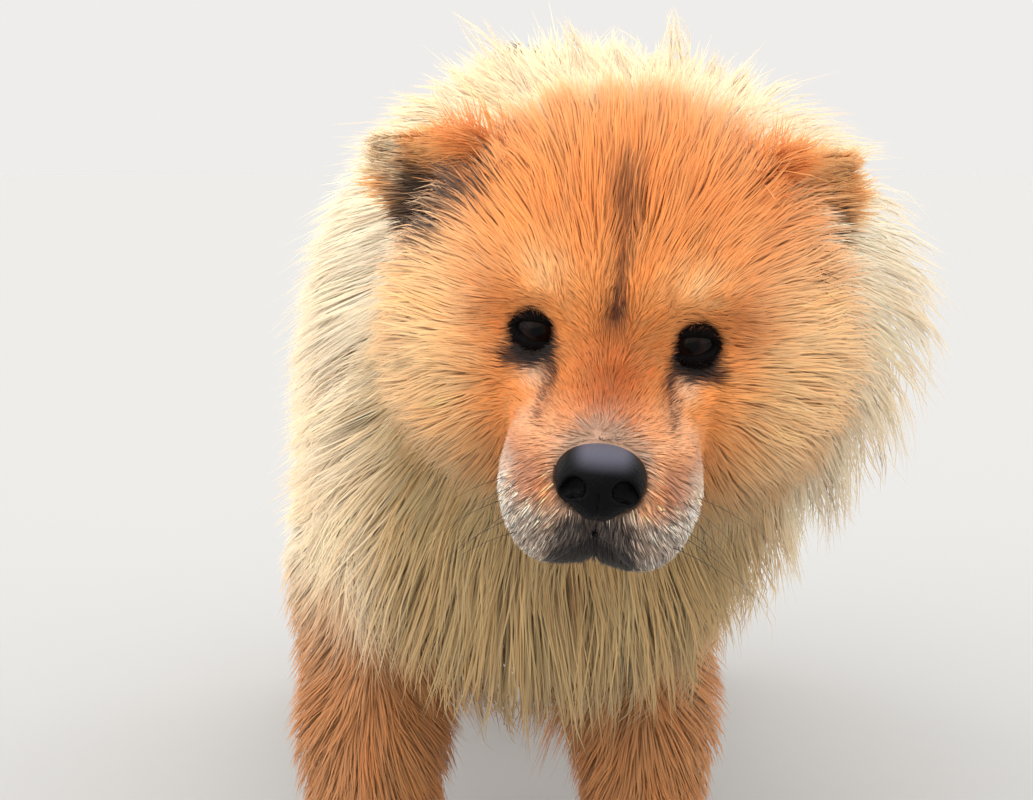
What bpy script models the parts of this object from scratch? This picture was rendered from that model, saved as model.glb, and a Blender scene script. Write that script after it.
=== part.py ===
"""A life-size chow chow that stands on four feet, its head lowered and held a little to its left.

The whole animal is one smooth field of named blobs and limbs. Each carries the size of its flesh and the
depth of its coat. Every node is a piece of that field, parted from its neighbours by thin gaps, and long
coat is laid over it as flat, tapered locks. Units are metres, +Z is up and the animal faces -Y.
"""

import itertools
import math

import bmesh
import bpy
import numpy as np
from mathutils import Matrix, Vector

GAP = 0.0003
SEED = 9
SIDES = {"left": 1, "right": -1}

# Head: its own frame has +X to the animal's left, +Y back and +Z up, from midway between the eyes.
HEAD_ORIGIN = np.array((0.046, -0.369, 0.399))
HEAD_YAW = math.radians(-4.4)
HEAD_ROLL = math.radians(5)
HEAD_PITCH = math.radians(8)
HEAD_BACK = 0.112
HEAD_UNDER = -0.122
FOREHEAD_START, FOREHEAD_RUN, FOREHEAD_SHARE = -0.020, 0.090, 0.35
EYE_APART = 0.073
EYE_BACK = 0.004
EYE_RADIUS = 0.0115
LID_THICKNESS = 0.0026
LID_OPENING = (0.0088, 0.0052)
LID_SLANT = math.radians(8)
LID_SEGMENTS = 12
SOCKET_RADIUS = 0.0165
SOCKET_AHEAD = 0.009
SOCKET_BLEND = 0.008
SOCKET_COAT, SOCKET_BARE, SOCKET_FADE = 0.12, 0.004, 0.022
NOSE_CENTRE = np.array((0, -0.080, -0.042))
NOSE_RADII = np.array((0.0186, 0.0150, 0.0170))
NOSE_TAPER = 0.24
NOSTRIL = ((0.0079, -0.0985, -0.0415), (0.0082, -0.0895, -0.0420), (0.0110, -0.0840, -0.0430))
NOSTRIL_RADII = (0.0041, 0.0036, 0.0023)
PHILTRUM = ((0, -0.087, -0.058), (0, -0.084, -0.066), (0, -0.080, -0.075))
MOUTH_SIDE = (
    (0.008, -0.079, -0.080),
    (0.018, -0.071, -0.089),
    (0.029, -0.058, -0.092),
    (0.038, -0.040, -0.089),
    (0.044, -0.020, -0.079),
    (0.046, -0.002, -0.068),
)
MOUTH_RADIUS = 0.0030
MUZZLE_WIDTH = 0.087
EAR_ROOT = np.array((0.060, 0.080, 0.052))
EAR_TIPS = {"left": np.array((0.109, 0.104, 0.076)), "right": np.array((0.131, 0.098, 0.066))}
EAR_FACE = np.array((0.30, -0.92, -0.24))
EAR_WIDTH = 0.058
EAR_UPPER, EAR_LOWER = 0.92, 1.10
EAR_TIP_WIDTH = 0.004
EAR_CUP = (0.016, 0.004)
EAR_BELLY = 0.006
EAR_THICKNESS = 0.009
EAR_RIM, EAR_THINNING = 0.25, 0.6
EAR_ROWS, EAR_COLUMNS = 7, 7

# Stance
FORE_PAW = {"left": (0.084, -0.120), "right": (-0.094, -0.140)}
HIND_PAW = {"left": (0.116, 0.275), "right": (-0.116, 0.250)}

# Joints of a leg, from the top down: share of the paw's x, distance behind the paw, height, radius and coat
FORELEG = (
    (0.80, 0.085, 0.285, 0.050, 0.028),
    (0.96, 0.062, 0.215, 0.036, 0.028),
    (1.00, 0.030, 0.105, 0.027, 0.024),
    (1.00, 0.012, 0.030, 0.026, 0.014),
)
HINDLEG = (
    (0.72, -0.045, 0.320, 0.062, 0.040),
    (0.90, -0.090, 0.215, 0.043, 0.032),
    (1.00, 0.034, 0.120, 0.026, 0.024),
    (1.00, 0.012, 0.030, 0.025, 0.012),
)
THIGH = ((0.72, -0.040, 0.285), (0.056, 0.084, 0.105), 0.040)
FORELEG_BLEND, HINDLEG_BLEND = 0.020, 0.030

# Paws
PAW_MIDDLE = 0.024
PAW_COAT, TOE_COAT = 0.004, 0.003
TOE_DROP = 0.007
PAW_RADII = np.array((0.0290, 0.0400, 0.0260))
PAW_TOP = 0.046
TOE_RADII = np.array((0.0115, 0.0190, 0.0150))
TOES = ((-0.0235, -0.026), (-0.0085, -0.037), (0.0085, -0.037), (0.0235, -0.026))
CLAW_RADIUS = 0.0032
CLAW_LENGTH = 0.015
CLAW_HEIGHT = 0.017

# Blends between parts of the field
TRUNK_BLEND = 0.045
LEG_BLEND = 0.030
FACE_BLEND = 0.014
TOE_BLEND = 0.005

# Where the nodes part: the back of the head, the neck's slanted back, and the legs' tops, which slope outwards
NECK_BACK = np.array((0, -0.120, 0.400))
NECK_SLANT = math.radians(-19)
LEG_SLOPE = 0.5
FORELEG_BLOCK = {"top": 0.245, "inner": 0.030, "front": -0.070, "back": 0.150}
HINDLEG_BLOCK = {"top": 0.285, "inner": 0.028, "front": -0.170, "back": 0.140}

# Head blobs: centre, radii and coat depth in the head's own frame. Those with a side are made on both.
SKULL = [
    ((0, 0.072, 0.012), (0.070, 0.082, 0.060), 0.034),
    ((0, 0.060, -0.050), (0.050, 0.062, 0.036), 0.034),
    ((0, -0.038, -0.040), (0.029, 0.042, 0.021), 0.004),
    ((0, -0.002, -0.020), (0.025, 0.030, 0.023), 0.006),
    ((0, -0.032, -0.071), (0.023, 0.030, 0.013), 0.004),
]
FACE_PAIRS = [
    ((0.044, 0.058, -0.026), (0.038, 0.052, 0.044), 0.044),
    ((0.032, 0.018, 0.023), (0.026, 0.026, 0.014), 0.014),
    ((0.032, 0.012, -0.034), (0.022, 0.026, 0.020), 0.010),
    ((MUZZLE_WIDTH / 2 - 0.0235, -0.048, -0.059), (0.0235, 0.034, 0.033), 0.004),
    ((0.021, -0.012, -0.050), (0.023, 0.054, 0.027), 0.006),
]

# Trunk blobs: centre, radii and coat depth
TRUNK = [
    ((0.024, -0.060, 0.352), (0.102, 0.125, 0.122), 0.054),
    ((0.032, -0.050, 0.424), (0.068, 0.095, 0.064), 0.052),
    ((0.016, -0.160, 0.294), (0.080, 0.045, 0.085), 0.080),
    ((0.004, 0.090, 0.350), (0.110, 0.160, 0.112), 0.052),
    ((0.000, 0.225, 0.362), (0.100, 0.110, 0.098), 0.046),
]
NECK_POINTS = np.array(((0.024, -0.090, 0.405), (0.072, -0.195, 0.400), (0.050, -0.270, 0.408)))
NECK_RADII = (0.094, 0.080, 0.068)
NECK_COAT = (0.058, 0.094, 0.050)
NECK_BLEND = 0.020
NECK_TOP_COAT, NECK_TOP_RISE = 0.75, 0.12
CORE_SHARE = 0.5
CORE_COAT, CORE_RUN = 0.010, 0.016

TAIL_POINTS = np.array(
    (
        (0.000, 0.300, 0.415),
        (0.000, 0.336, 0.460),
        (0.004, 0.330, 0.510),
        (0.014, 0.280, 0.532),
        (0.028, 0.215, 0.528),
        (0.040, 0.155, 0.518),
    )
)
TAIL_RADII = (0.026, 0.022, 0.019, 0.017, 0.014, 0.010)
TAIL_COAT = (0.026, 0.030, 0.032, 0.034, 0.034, 0.030)
TAIL_BLEND = 0.015

# Locks. For each kind of node: distance between roots, length, width and thickness of a lock.
LOCKS = {
    "head": (0.031, 0.060, 0.034, 0.008),
    "neck": (0.038, 0.115, 0.050, 0.014),
    "torso": (0.053, 0.120, 0.064, 0.014),
    "tail": (0.040, 0.085, 0.038, 0.011),
    "foreleg": (0.044, 0.064, 0.032, 0.009),
    "hindleg": (0.044, 0.085, 0.042, 0.011),
}
LOCK_SINK = 0.012
ROOT_MARGIN = 0.003
ROOT_REACH = 0.006
LOCK_CLEARANCE = 0.020
EAR_CLEARANCE = (0.036, 0.022)
LOWEST_ROOT = {"foreleg": 0.085}
LOWEST_ROOT_ELSEWHERE = 0.125
HANG = 0.55
HANG_PULL = 0.5
LOCK_STATIONS = (0.0, 0.22, 0.50, 0.78, 1.0)
LOCK_WIDTHS = (0.60, 1.00, 0.90, 0.52, 0.0)
LOCK_HEIGHTS = (0.90, 1.00, 0.85, 0.50, 0.0)
LOCK_LEAST_COAT = 0.022
LOCK_LOWEST = 0.004
UNDERSIDE = -0.80
CANDIDATES = 2500

# The way that the coat lies: away from a place in the nose, backwards and down the head's sides, outwards and
# down on the tail, and one way on each other kind of node
HEAD_SOURCE, HEAD_BACKWARDS, HEAD_FALL = (0, -0.060, -0.030), (0, 0.55, 0), 5.0
TAIL_SPREAD, TAIL_FALL = 0.7, -0.3
LIES = {
    "neck": (0, 0.60, -0.75),
    "torso": (0, 0.80, -0.60),
    "foreleg": (0, 0.45, -0.90),
    "hindleg": (0, 0.40, -0.92),
}

# Meshing: box, size of a cell and number of triangles of each trunk node, and of a leg or paw about its paw
BODY_NODES = {
    "head": ((-0.13, -0.53, 0.25), (0.23, -0.18, 0.58), 0.0052, 1900),
    "neck": ((-0.19, -0.40, 0.10), (0.28, 0.03, 0.64), 0.012, 500),
    "torso": ((-0.24, -0.31, 0.08), (0.24, 0.46, 0.60), 0.012, 720),
}
TAIL_NODE = ((-0.12, 0.08, 0.36), (0.14, 0.44, 0.68), 0.009, 260)
FORELEG_NODE = ((-0.10, -0.12, 0.03), (0.10, 0.20, 0.26), 0.008, 300)
HINDLEG_NODE = ((-0.12, -0.22, 0.03), (0.12, 0.17, 0.30), 0.009, 300)
PAW_NODE = ((-0.050, -0.080, -0.010), (0.050, 0.060, 0.056), 0.004, 200)

RUST = (0.55, 0.27, 0.11, 1)
ORANGE = (0.80, 0.43, 0.18, 1)
CREAM = (0.86, 0.68, 0.47, 1)
BLACK = (0.02, 0.02, 0.022, 1)


def head_matrix():
    """From the head's own frame to the model's, as a 3 by 3 array whose columns are the head's axes."""
    turn = Matrix.Rotation(HEAD_YAW, 3, "Z") @ Matrix.Rotation(HEAD_ROLL, 3, "Y")
    return np.array(turn @ Matrix.Rotation(HEAD_PITCH, 3, "X"))


HEAD_AXES = head_matrix()


def to_head(points):
    return (points - HEAD_ORIGIN) @ HEAD_AXES


def from_head(points):
    return np.asarray(points) @ HEAD_AXES.T + HEAD_ORIGIN


def ellipsoid(points, centre, radii):
    """Distance to an ellipsoid, close enough near its surface."""
    offset = points - np.asarray(centre)
    radii = np.asarray(radii)
    scaled = np.linalg.norm(offset / radii, axis=1)
    slope = np.maximum(np.linalg.norm(offset / radii**2, axis=1), 1e-6)
    return scaled * (scaled - 1) / slope


def limb(points, start, end, start_radius, end_radius):
    """(distance to a tapered limb, share of the way along it)"""
    start, end = np.asarray(start), np.asarray(end)
    along = end - start
    share = np.clip((points - start) @ along / (along @ along), 0, 1)
    nearest = start + share[:, None] * along
    radius = start_radius + (end_radius - start_radius) * share
    return np.linalg.norm(points - nearest, axis=1) - radius, share


def blended(first, second, blend):
    """Smooth union of two (distance, coat depth) pairs."""
    share = np.clip(0.5 + 0.5 * (second[0] - first[0]) / blend, 0, 1)
    distance = second[0] * (1 - share) + first[0] * share - blend * share * (1 - share)
    return distance, second[1] * (1 - share) + first[1] * share


def united(fields, blend):
    result = fields[0]
    for field in fields[1:]:
        result = blended(result, field, blend)
    return result


def blob_field(points, centre, radii, coat):
    return ellipsoid(points, centre, radii), np.full(len(points), coat)


def chain_field(points, joints, radii, coats, blend):
    """A chain of tapered limbs through the joints."""
    fields = []
    for k in range(len(joints) - 1):
        distance, share = limb(points, joints[k], joints[k + 1], radii[k], radii[k + 1])
        fields.append((distance, coats[k] + (coats[k + 1] - coats[k]) * share))
    return united(fields, blend)


def eye_centre(side):
    return np.array((SIDES[side] * EYE_APART / 2, EYE_BACK, 0.0))


def head_field(points):
    own = to_head(points)
    fields = [blob_field(own, *blob) for blob in SKULL]
    for sign in SIDES.values():
        for centre, radii, coat in FACE_PAIRS:
            fields.append(blob_field(own, np.array(centre) * (sign, 1, 1), radii, coat))
    distance, coat = united(fields, FACE_BLEND)
    back = np.clip((own[:, 1] - FOREHEAD_START) / FOREHEAD_RUN, 0, 1)
    coat = coat * (FOREHEAD_SHARE + (1 - FOREHEAD_SHARE) * back)
    for side in SIDES:
        socket = np.linalg.norm(own - eye_centre(side) + (0, SOCKET_AHEAD, 0), axis=1) - SOCKET_RADIUS
        share = np.clip(0.5 - 0.5 * (distance + socket) / SOCKET_BLEND, 0, 1)
        distance = distance * (1 - share) - socket * share + SOCKET_BLEND * share * (1 - share)
        coat = coat * np.clip((socket + SOCKET_BARE) / SOCKET_FADE, SOCKET_COAT, 1)
    return distance, coat


def leg_field(points, joints, paw, blend):
    x, y = paw
    places = [(share * x, y + behind, height) for share, behind, height, _, _ in joints]
    radii = [radius for *_, radius, _ in joints]
    coats = [coat for *_, coat in joints]
    return chain_field(points, places, radii, coats, blend)


def foreleg_field(points, side):
    return leg_field(points, FORELEG, FORE_PAW[side], FORELEG_BLEND)


def hindleg_field(points, side):
    x, y = HIND_PAW[side]
    (share, behind, height), radii, coat = THIGH
    thigh = blob_field(points, (share * x, y + behind, height), radii, coat)
    return blended(leg_field(points, HINDLEG, (x, y), HINDLEG_BLEND), thigh, HINDLEG_BLEND)


def trunk_field(points):
    fields = [blob_field(points, *blob) for blob in TRUNK]
    neck, coat = chain_field(points, NECK_POINTS, NECK_RADII, NECK_COAT, NECK_BLEND)
    rise = np.clip((points[:, 2] - NECK_POINTS[1, 2]) / NECK_TOP_RISE, 0, 1)
    fields.append((neck, coat * (1 - (1 - NECK_TOP_COAT) * rise)))
    return united(fields, TRUNK_BLEND)


def body_field(points):
    """(distance to the flesh, depth of the coat) of the animal without its tail, ears and paws."""
    result = blended(trunk_field(points), head_field(points), TRUNK_BLEND)
    for side in SIDES:
        result = blended(result, foreleg_field(points, side), LEG_BLEND)
        result = blended(result, hindleg_field(points, side), LEG_BLEND)
    return result


def tail_field(points):
    return chain_field(points, TAIL_POINTS, TAIL_RADII, TAIL_COAT, TAIL_BLEND)


def paw_field(points, centre):
    """The pad and four toes of a paw whose middle stands over this (x, y)."""
    middle = np.array((*centre, PAW_MIDDLE))
    fields = [blob_field(points, middle, PAW_RADII, PAW_COAT)]
    for across, ahead in TOES:
        fields.append(blob_field(points, middle + (across, ahead, -TOE_DROP), TOE_RADII, TOE_COAT))
    return united(fields, TOE_BLEND)


def level_surface(field, low, high, cell):
    """Vertices and triangles of the surface where the field is zero, from a grid cut into tetrahedra."""
    axes = [np.arange(low[k], high[k] + cell, cell) for k in range(3)]
    grid = np.stack(np.meshgrid(*axes, indexing="ij"), axis=-1)
    sizes = np.array(grid.shape[:3])
    points = grid.reshape(-1, 3)
    value = field(points)
    least = 0.03 * cell
    value = np.where(np.abs(value) < least, np.where(value < 0, -least, least), value)
    inside = value < 0
    strides = np.array((sizes[1] * sizes[2], sizes[2], 1))
    cells = np.stack(np.meshgrid(*[np.arange(n - 1) for n in sizes], indexing="ij"), axis=-1)
    first = cells.reshape(-1, 3) @ strides
    reach = [a * strides[0] + b * strides[1] + c * strides[2] for a in (0, 1) for b in (0, 1) for c in (0, 1)]
    filled = sum(inside[first + step].astype(int) for step in reach)
    first = first[(filled > 0) & (filled < 8)]
    rings = []
    for order in itertools.permutations(range(3)):
        steps = np.cumsum([0] + [strides[k] for k in order])
        corners = first[:, None] + steps
        full = inside[corners].sum(axis=1)
        for count in (1, 2, 3):
            chosen = corners[full == count]
            rank = np.argsort(~inside[chosen], axis=1, kind="stable")
            a, b, c, d = np.take_along_axis(chosen, rank, axis=1).T
            if count == 1:
                rings.append(([a, a, a], [b, c, d], a, d))
            elif count == 3:
                rings.append(([a, b, c], [d, d, d], a, d))
            else:
                rings.append(([a, a, b], [c, d, d], a, d))
                rings.append(([a, b, b], [c, d, c], a, d))
    starts = np.concatenate([np.stack(ring[0], axis=1) for ring in rings])
    ends = np.concatenate([np.stack(ring[1], axis=1) for ring in rings])
    inner = points[np.concatenate([ring[2] for ring in rings])]
    outer = points[np.concatenate([ring[3] for ring in rings])]
    low_end, high_end = np.minimum(starts, ends), np.maximum(starts, ends)
    keys, index = np.unique(low_end * len(points) + high_end, return_inverse=True)
    index = index.reshape(-1, 3)
    one, two = keys // len(points), keys % len(points)
    share = (value[one] / (value[one] - value[two]))[:, None]
    vertices = points[one] * (1 - share) + points[two] * share
    side = np.cross(vertices[index[:, 1]] - vertices[index[:, 0]], vertices[index[:, 2]] - vertices[index[:, 0]])
    wrong = (side * (outer - inner)).sum(axis=1) < 0
    index[wrong] = index[wrong][:, ::-1]
    return vertices, index


def mesh_object(name, vertices, faces):
    mesh = bpy.data.meshes.new(name)
    mesh.from_pydata([tuple(map(float, v)) for v in vertices], [], [tuple(map(int, f)) for f in faces])
    shape = bmesh.new()
    shape.from_mesh(mesh)
    bmesh.ops.triangulate(shape, faces=shape.faces[:])
    shape.to_mesh(mesh)
    shape.free()
    obj = bpy.data.objects.new(name, mesh)
    bpy.context.scene.collection.objects.link(obj)
    return obj


def applied(obj):
    """Replaces an object's mesh by the one that its modifiers make."""
    bpy.context.view_layer.update()
    graph = bpy.context.evaluated_depsgraph_get()
    made = bpy.data.meshes.new_from_object(obj.evaluated_get(graph))
    obj.modifiers.clear()
    obj.data = made
    return obj


def keep_largest(obj):
    """Keeps only the largest closed surface of an object, as triangles."""
    shape = bmesh.new()
    shape.from_mesh(obj.data)
    bmesh.ops.triangulate(shape, faces=shape.faces[:])
    left, groups = set(shape.verts), []
    while left:
        stack, group = [left.pop()], set()
        while stack:
            vert = stack.pop()
            group.add(vert)
            for edge in vert.link_edges:
                other = edge.other_vert(vert)
                if other in left:
                    left.remove(other)
                    stack.append(other)
        groups.append(group)
    largest = max(groups, key=len)
    bmesh.ops.delete(shape, geom=[v for v in shape.verts if v not in largest], context="VERTS")
    shape.to_mesh(obj.data)
    shape.free()
    return obj


def thinned(obj, triangles):
    """Reduces an object to about this many triangles."""
    keep_largest(obj)
    modifier = obj.modifiers.new("thin", "DECIMATE")
    modifier.ratio = min(1.0, triangles / len(obj.data.polygons))
    return applied(obj)


def combined(obj, others, operation):
    """Joins the other objects to this one, or cuts it by them, and removes them.

    The solver is MANIFOLD because the exact one leaves open edges where many locks cross.
    """
    group = bpy.data.collections.new("pieces")
    bpy.context.scene.collection.children.link(group)
    for other in others:
        for home in list(other.users_collection):
            home.objects.unlink(other)
        group.objects.link(other)
    modifier = obj.modifiers.new("combine", "BOOLEAN")
    modifier.operand_type = "COLLECTION"
    modifier.collection = group
    modifier.operation = operation
    modifier.solver = "MANIFOLD"
    applied(obj)
    for other in others:
        bpy.data.objects.remove(other)
    bpy.data.collections.remove(group)
    return keep_largest(obj)


def material(name, colour, roughness):
    made = bpy.data.materials.get(name) or bpy.data.materials.new(name)
    made.use_nodes = True
    surface = made.node_tree.nodes["Principled BSDF"]
    surface.inputs["Base Color"].default_value = colour
    surface.inputs["Roughness"].default_value = roughness
    surface.inputs["Metallic"].default_value = 0.0
    return made


def finished(obj, finish):
    obj.data.materials.clear()
    obj.data.materials.append(finish)
    obj.data.shade_smooth()
    obj.data.set_sharp_from_angle(angle=math.radians(40))
    return obj


def block(name, low, high, turn=None, shift=(0, 0, 0), slope=0.0, grow=0.0):
    """A box whose top falls by slope with distance from the midline, with grow added all round."""
    low, high = np.array(low) - grow, np.array(high) + grow
    corners = []
    for x in (low[0], high[0]):
        top = high[2] - slope * (abs(x) - min(abs(low[0]), abs(high[0])))
        corners += [(x, low[1], low[2]), (x, high[1], low[2]), (x, low[1], top), (x, high[1], top)]
    faces = [(2, 3, 1, 0), (5, 7, 6, 4), (1, 5, 4, 0), (6, 7, 3, 2), (4, 6, 2, 0), (3, 7, 5, 1)]
    points = np.array(corners)
    if turn is not None:
        points = points @ turn.T
    return mesh_object(name, points + shift, faces)


def node_block(node, grow=0.0):
    """The block of space that a node owns, save where a block before it in ORDER reaches."""
    if node == "head":
        return block("block", (-0.3, -0.3, HEAD_UNDER), (0.3, HEAD_BACK, 0.3), HEAD_AXES, HEAD_ORIGIN, 0, grow)
    if node == "neck":
        turn = np.array(Matrix.Rotation(NECK_SLANT, 3, "X"))
        return block("block", (-0.4, -0.5, -0.5), (0.4, 0, 0.5), turn, NECK_BACK, 0, grow)
    kind, _, side = node.partition("_")
    x, y = (FORE_PAW if kind == "foreleg" else HIND_PAW)[side]
    size = FORELEG_BLOCK if kind == "foreleg" else HINDLEG_BLOCK
    ends = sorted((SIDES[side] * size["inner"], SIDES[side] * 0.3))
    low, high = (ends[0], y + size["front"], PAW_TOP), (ends[1], y + size["back"], size["top"])
    return block("block", low, high, slope=LEG_SLOPE, grow=grow)


LOCK_ORDER = ["head", "neck", "tail", "torso", "hindleg_left", "hindleg_right", "foreleg_left", "foreleg_right"]
ORDER = ["head", "neck", "foreleg_left", "foreleg_right", "hindleg_left", "hindleg_right"]


def core_share(coat):
    """How much of the coat's depth the solid holds: all of short fur, and more than that only in part."""
    return np.clip(1.0 - (coat - CORE_COAT) / CORE_RUN, CORE_SHARE, 1.0)


def shell(source, low, high):
    """The field of a coated body, shut off outside a box."""
    low, high = np.array(low), np.array(high)

    def field(points):
        distance, coat = source(points)
        level = distance - coat * core_share(coat)
        outside = np.maximum(low - points, points - high).max(axis=1)
        return np.maximum(level, outside)

    return field


def meshed(node, source, low, high, cell, triangles, origin=(0, 0, 0)):
    pad = 1.5 * cell
    low, high = np.array(low) + origin, np.array(high) + origin
    return thinned(mesh_object(node, *level_surface(shell(source, low, high), low - pad, high + pad, cell)), triangles)


def body_node(node, size, finish, origin=(0, 0, 0)):
    """The part of the body in a node's block, cut clear of the blocks that come before it."""
    obj = meshed(node, body_field, *size, origin)
    before = ORDER
    if node in ORDER:
        combined(obj, [node_block(node)], "INTERSECT")
        before = ORDER[: ORDER.index(node)]
    for other in before:
        combined(obj, [node_block(other, GAP)], "DIFFERENCE")
    return finished(obj, finish)


def grown(obj, amount):
    """A copy of an object, moved out along its normals by this much."""
    mesh = obj.data.copy()
    count = len(mesh.vertices)
    points, normals = np.empty(count * 3), np.empty(count * 3)
    mesh.vertices.foreach_get("co", points)
    mesh.vertex_normals.foreach_get("vector", normals)
    mesh.vertices.foreach_set("co", points + normals * amount)
    copy = bpy.data.objects.new("grown", mesh)
    bpy.context.scene.collection.objects.link(copy)
    return copy


def paw_node(name, centre, finish):
    x, y = centre

    def source(points):
        return paw_field(points, centre)

    obj = meshed(name, source, *PAW_NODE, (x, y, 0))
    claws = []
    for across, ahead in TOES:
        start = np.array((x + across, y + ahead - TOE_RADII[1] + 0.4 * CLAW_LENGTH, CLAW_HEIGHT))
        line = [start, start + (0, -0.5 * CLAW_LENGTH, -0.001), start + (0, -CLAW_LENGTH, -0.006)]
        claws.append(tube(line, (CLAW_RADIUS, 0.85 * CLAW_RADIUS, 0.3 * CLAW_RADIUS), 4))
    combined(obj, claws, "UNION")
    room = block("room", (x - 0.1, y - 0.1, 0), (x + 0.1, y + 0.1, PAW_TOP - GAP))
    return finished(combined(obj, [room], "INTERSECT"), finish)


def unit(vectors):
    return vectors / np.maximum(np.linalg.norm(vectors, axis=-1), 1e-9)[..., None]


def slopes(field, points, step=0.002):
    """Unit vectors out of the surface that a field describes."""
    return unit(np.stack([field(points + k)[0] - field(points - k)[0] for k in np.eye(3) * step], axis=1))


def lie(kind, points):
    """The way that the coat lies, before it's laid down on the surface."""
    if kind == "head":
        own = to_head(points)
        away = unit(own - HEAD_SOURCE) + HEAD_BACKWARDS
        away[:, 2] -= HEAD_FALL * np.abs(own[:, 0])
        return unit(away @ HEAD_AXES.T)
    if kind == "tail":
        best, along = np.full(len(points), np.inf), np.zeros((len(points), 3))
        for start, end in zip(TAIL_POINTS, TAIL_POINTS[1:]):
            distance = limb(points, start, end, 0, 0)[0]
            near = distance < best
            best = np.where(near, distance, best)
            along[near] = unit(end - start)
        outwards = TAIL_SPREAD * np.sign(points[:, 0] - TAIL_POINTS[:, 0].mean())
        spread = np.stack([outwards, 0 * best, TAIL_FALL + 0 * best], axis=1)
        return unit(along + spread)
    return unit(np.tile(np.array(LIES[kind], float), (len(points), 1)))


def tail_and_body(points):
    return blended(tail_field(points), body_field(points), 0.01)


def roots_on(obj, kind, spacing, rng):
    """Points spread evenly over the coated surface of a node."""
    mesh = obj.data
    mesh.calc_loop_triangles()
    corners = np.array([[mesh.vertices[i].co for i in t.vertices] for t in mesh.loop_triangles])
    areas = np.array([t.area for t in mesh.loop_triangles])
    chosen = rng.choice(len(areas), CANDIDATES, p=areas / areas.sum())
    weights = rng.dirichlet((1, 1, 1), CANDIDATES)
    points = (corners[chosen] * weights[:, :, None]).sum(axis=1)
    field = tail_field if kind == "tail" else body_field
    distance, coat = field(points)
    normals = slopes(field, points)
    held = np.abs(distance - coat * core_share(coat)) < ROOT_REACH
    held &= (coat > LOCK_LEAST_COAT) & (normals[:, 2] > UNDERSIDE)
    held &= points[:, 2] > LOWEST_ROOT.get(kind, LOWEST_ROOT_ELSEWHERE)
    if kind == "foreleg":
        held &= normals[:, 1] > 0.1
    if kind == "hindleg":
        held &= normals[:, 0] * np.sign(points[:, 0]) > -0.3
    for side in SIDES:
        own = to_head(points)
        sign = (SIDES[side], 1, 1)
        held &= limb(own, EAR_ROOT * sign, EAR_TIPS[side] * sign, *EAR_CLEARANCE)[0] > 0
    kept = []
    for point in points[held]:
        if all(np.linalg.norm(point - other) > spacing for other in kept):
            kept.append(point)
    return np.array(kept)


def lock_paths(kind, field, roots, length, rng):
    """For each root, the lock's middle line and the surface's normals along it."""
    count = len(roots)
    normals = slopes(field, roots)
    lengths = length * rng.uniform(0.85, 1.15, count)
    turn = rng.uniform(-0.30, 0.30, count)
    reach = rng.uniform(0.85, 1.12, count)
    points = roots - normals * LOCK_SINK
    lines, ups = [points], [normals]
    previous = 0.0
    for share in LOCK_STATIONS[1:]:
        way = lie(kind, points)
        side = np.cross(way, normals)
        way = unit(way + side * (turn * (0.4 + share))[:, None])
        rise = (way * normals).sum(axis=1)
        way = unit(way - normals * np.where(rise > 0, (1 - HANG) * rise, rise)[:, None])
        points = points + way * (lengths * (share - previous))[:, None]
        distance, coat = field(points)
        normals = slopes(field, points)
        core = core_share(coat)
        height = coat * (core + (1 - core) * share**0.7 * reach) - 0.35 * LOCK_SINK * (1 - share)
        gain = height - distance
        points = points + normals * np.where(gain < 0, HANG_PULL * gain, gain)[:, None]
        points[:, 2] = np.maximum(points[:, 2], PAW_TOP + LOCK_LOWEST)
        previous = share
        lines.append(points)
        ups.append(normals)
    return np.stack(lines, axis=1), np.stack(ups, axis=1)


def lock(line, ups, width, height, grow=0.0):
    """A closed, flat lock of hair that tapers to a point along a line, with grow added all round."""
    vertices, faces = [], []
    along = unit(np.gradient(line, axis=0))
    across = unit(np.cross(along, ups))
    for k in range(len(line) - 1):
        half = across[k] * (width * LOCK_WIDTHS[k] / 2 + 2 * grow)
        low, high = line[k] - ups[k] * grow, line[k] + ups[k] * (height * LOCK_HEIGHTS[k] + 2 * grow)
        vertices += [low - half, low + half, high]
    vertices.append(line[-1] + along[-1] * 4 * grow)
    tip = len(vertices) - 1
    faces.append((0, 1, 2))
    for k in range(len(line) - 2):
        a = 3 * k
        for i in range(3):
            j = (i + 1) % 3
            faces.append((a + j, a + i, a + i + 3, a + j + 3))
    faces += [(tip - 2, tip - 3, tip), (tip - 1, tip - 2, tip), (tip - 3, tip - 1, tip)]
    return mesh_object("lock", vertices, faces)


def tube(line, radii, sides=5):
    """A closed tube along a line, with this radius at each point."""
    line = np.asarray(line, float)
    along = unit(np.gradient(line, axis=0))
    first = unit(np.cross(along, (0.31, 0.17, 0.93)))
    second = np.cross(along, first)
    vertices, faces = [], []
    for k, radius in enumerate(radii):
        for i in range(sides):
            angle = 2 * math.pi * i / sides
            vertices.append(line[k] + radius * (math.cos(angle) * first[k] + math.sin(angle) * second[k]))
    for k in range(len(radii) - 1):
        for i in range(sides):
            a, b = k * sides + i, k * sides + (i + 1) % sides
            faces.append((a, b, b + sides, a + sides))
    faces.append(tuple(range(sides - 1, -1, -1)))
    faces.append(tuple(range(len(vertices) - sides, len(vertices))))
    return mesh_object("tube", vertices, faces)


def within(block_of, points, margin):
    """Which points lie inside a node's block by at least this margin."""
    obj = node_block(block_of)
    held = np.ones(len(points), bool)
    for face in obj.data.polygons:
        held &= (points - np.array(face.center)) @ np.array(face.normal) < -margin
    bpy.data.objects.remove(obj)
    return held


def rooted(name, points):
    """Which points lie well inside the space that a node owns."""
    if name == "tail":
        distance, coat = body_field(points)
        return distance - coat * core_share(coat) > ROOT_MARGIN
    held = within(name, points, ROOT_MARGIN) if name in ORDER else np.ones(len(points), bool)
    for other in ORDER[: ORDER.index(name)] if name in ORDER else ORDER:
        held &= ~within(other, points, -ROOT_MARGIN)
    return held


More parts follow.
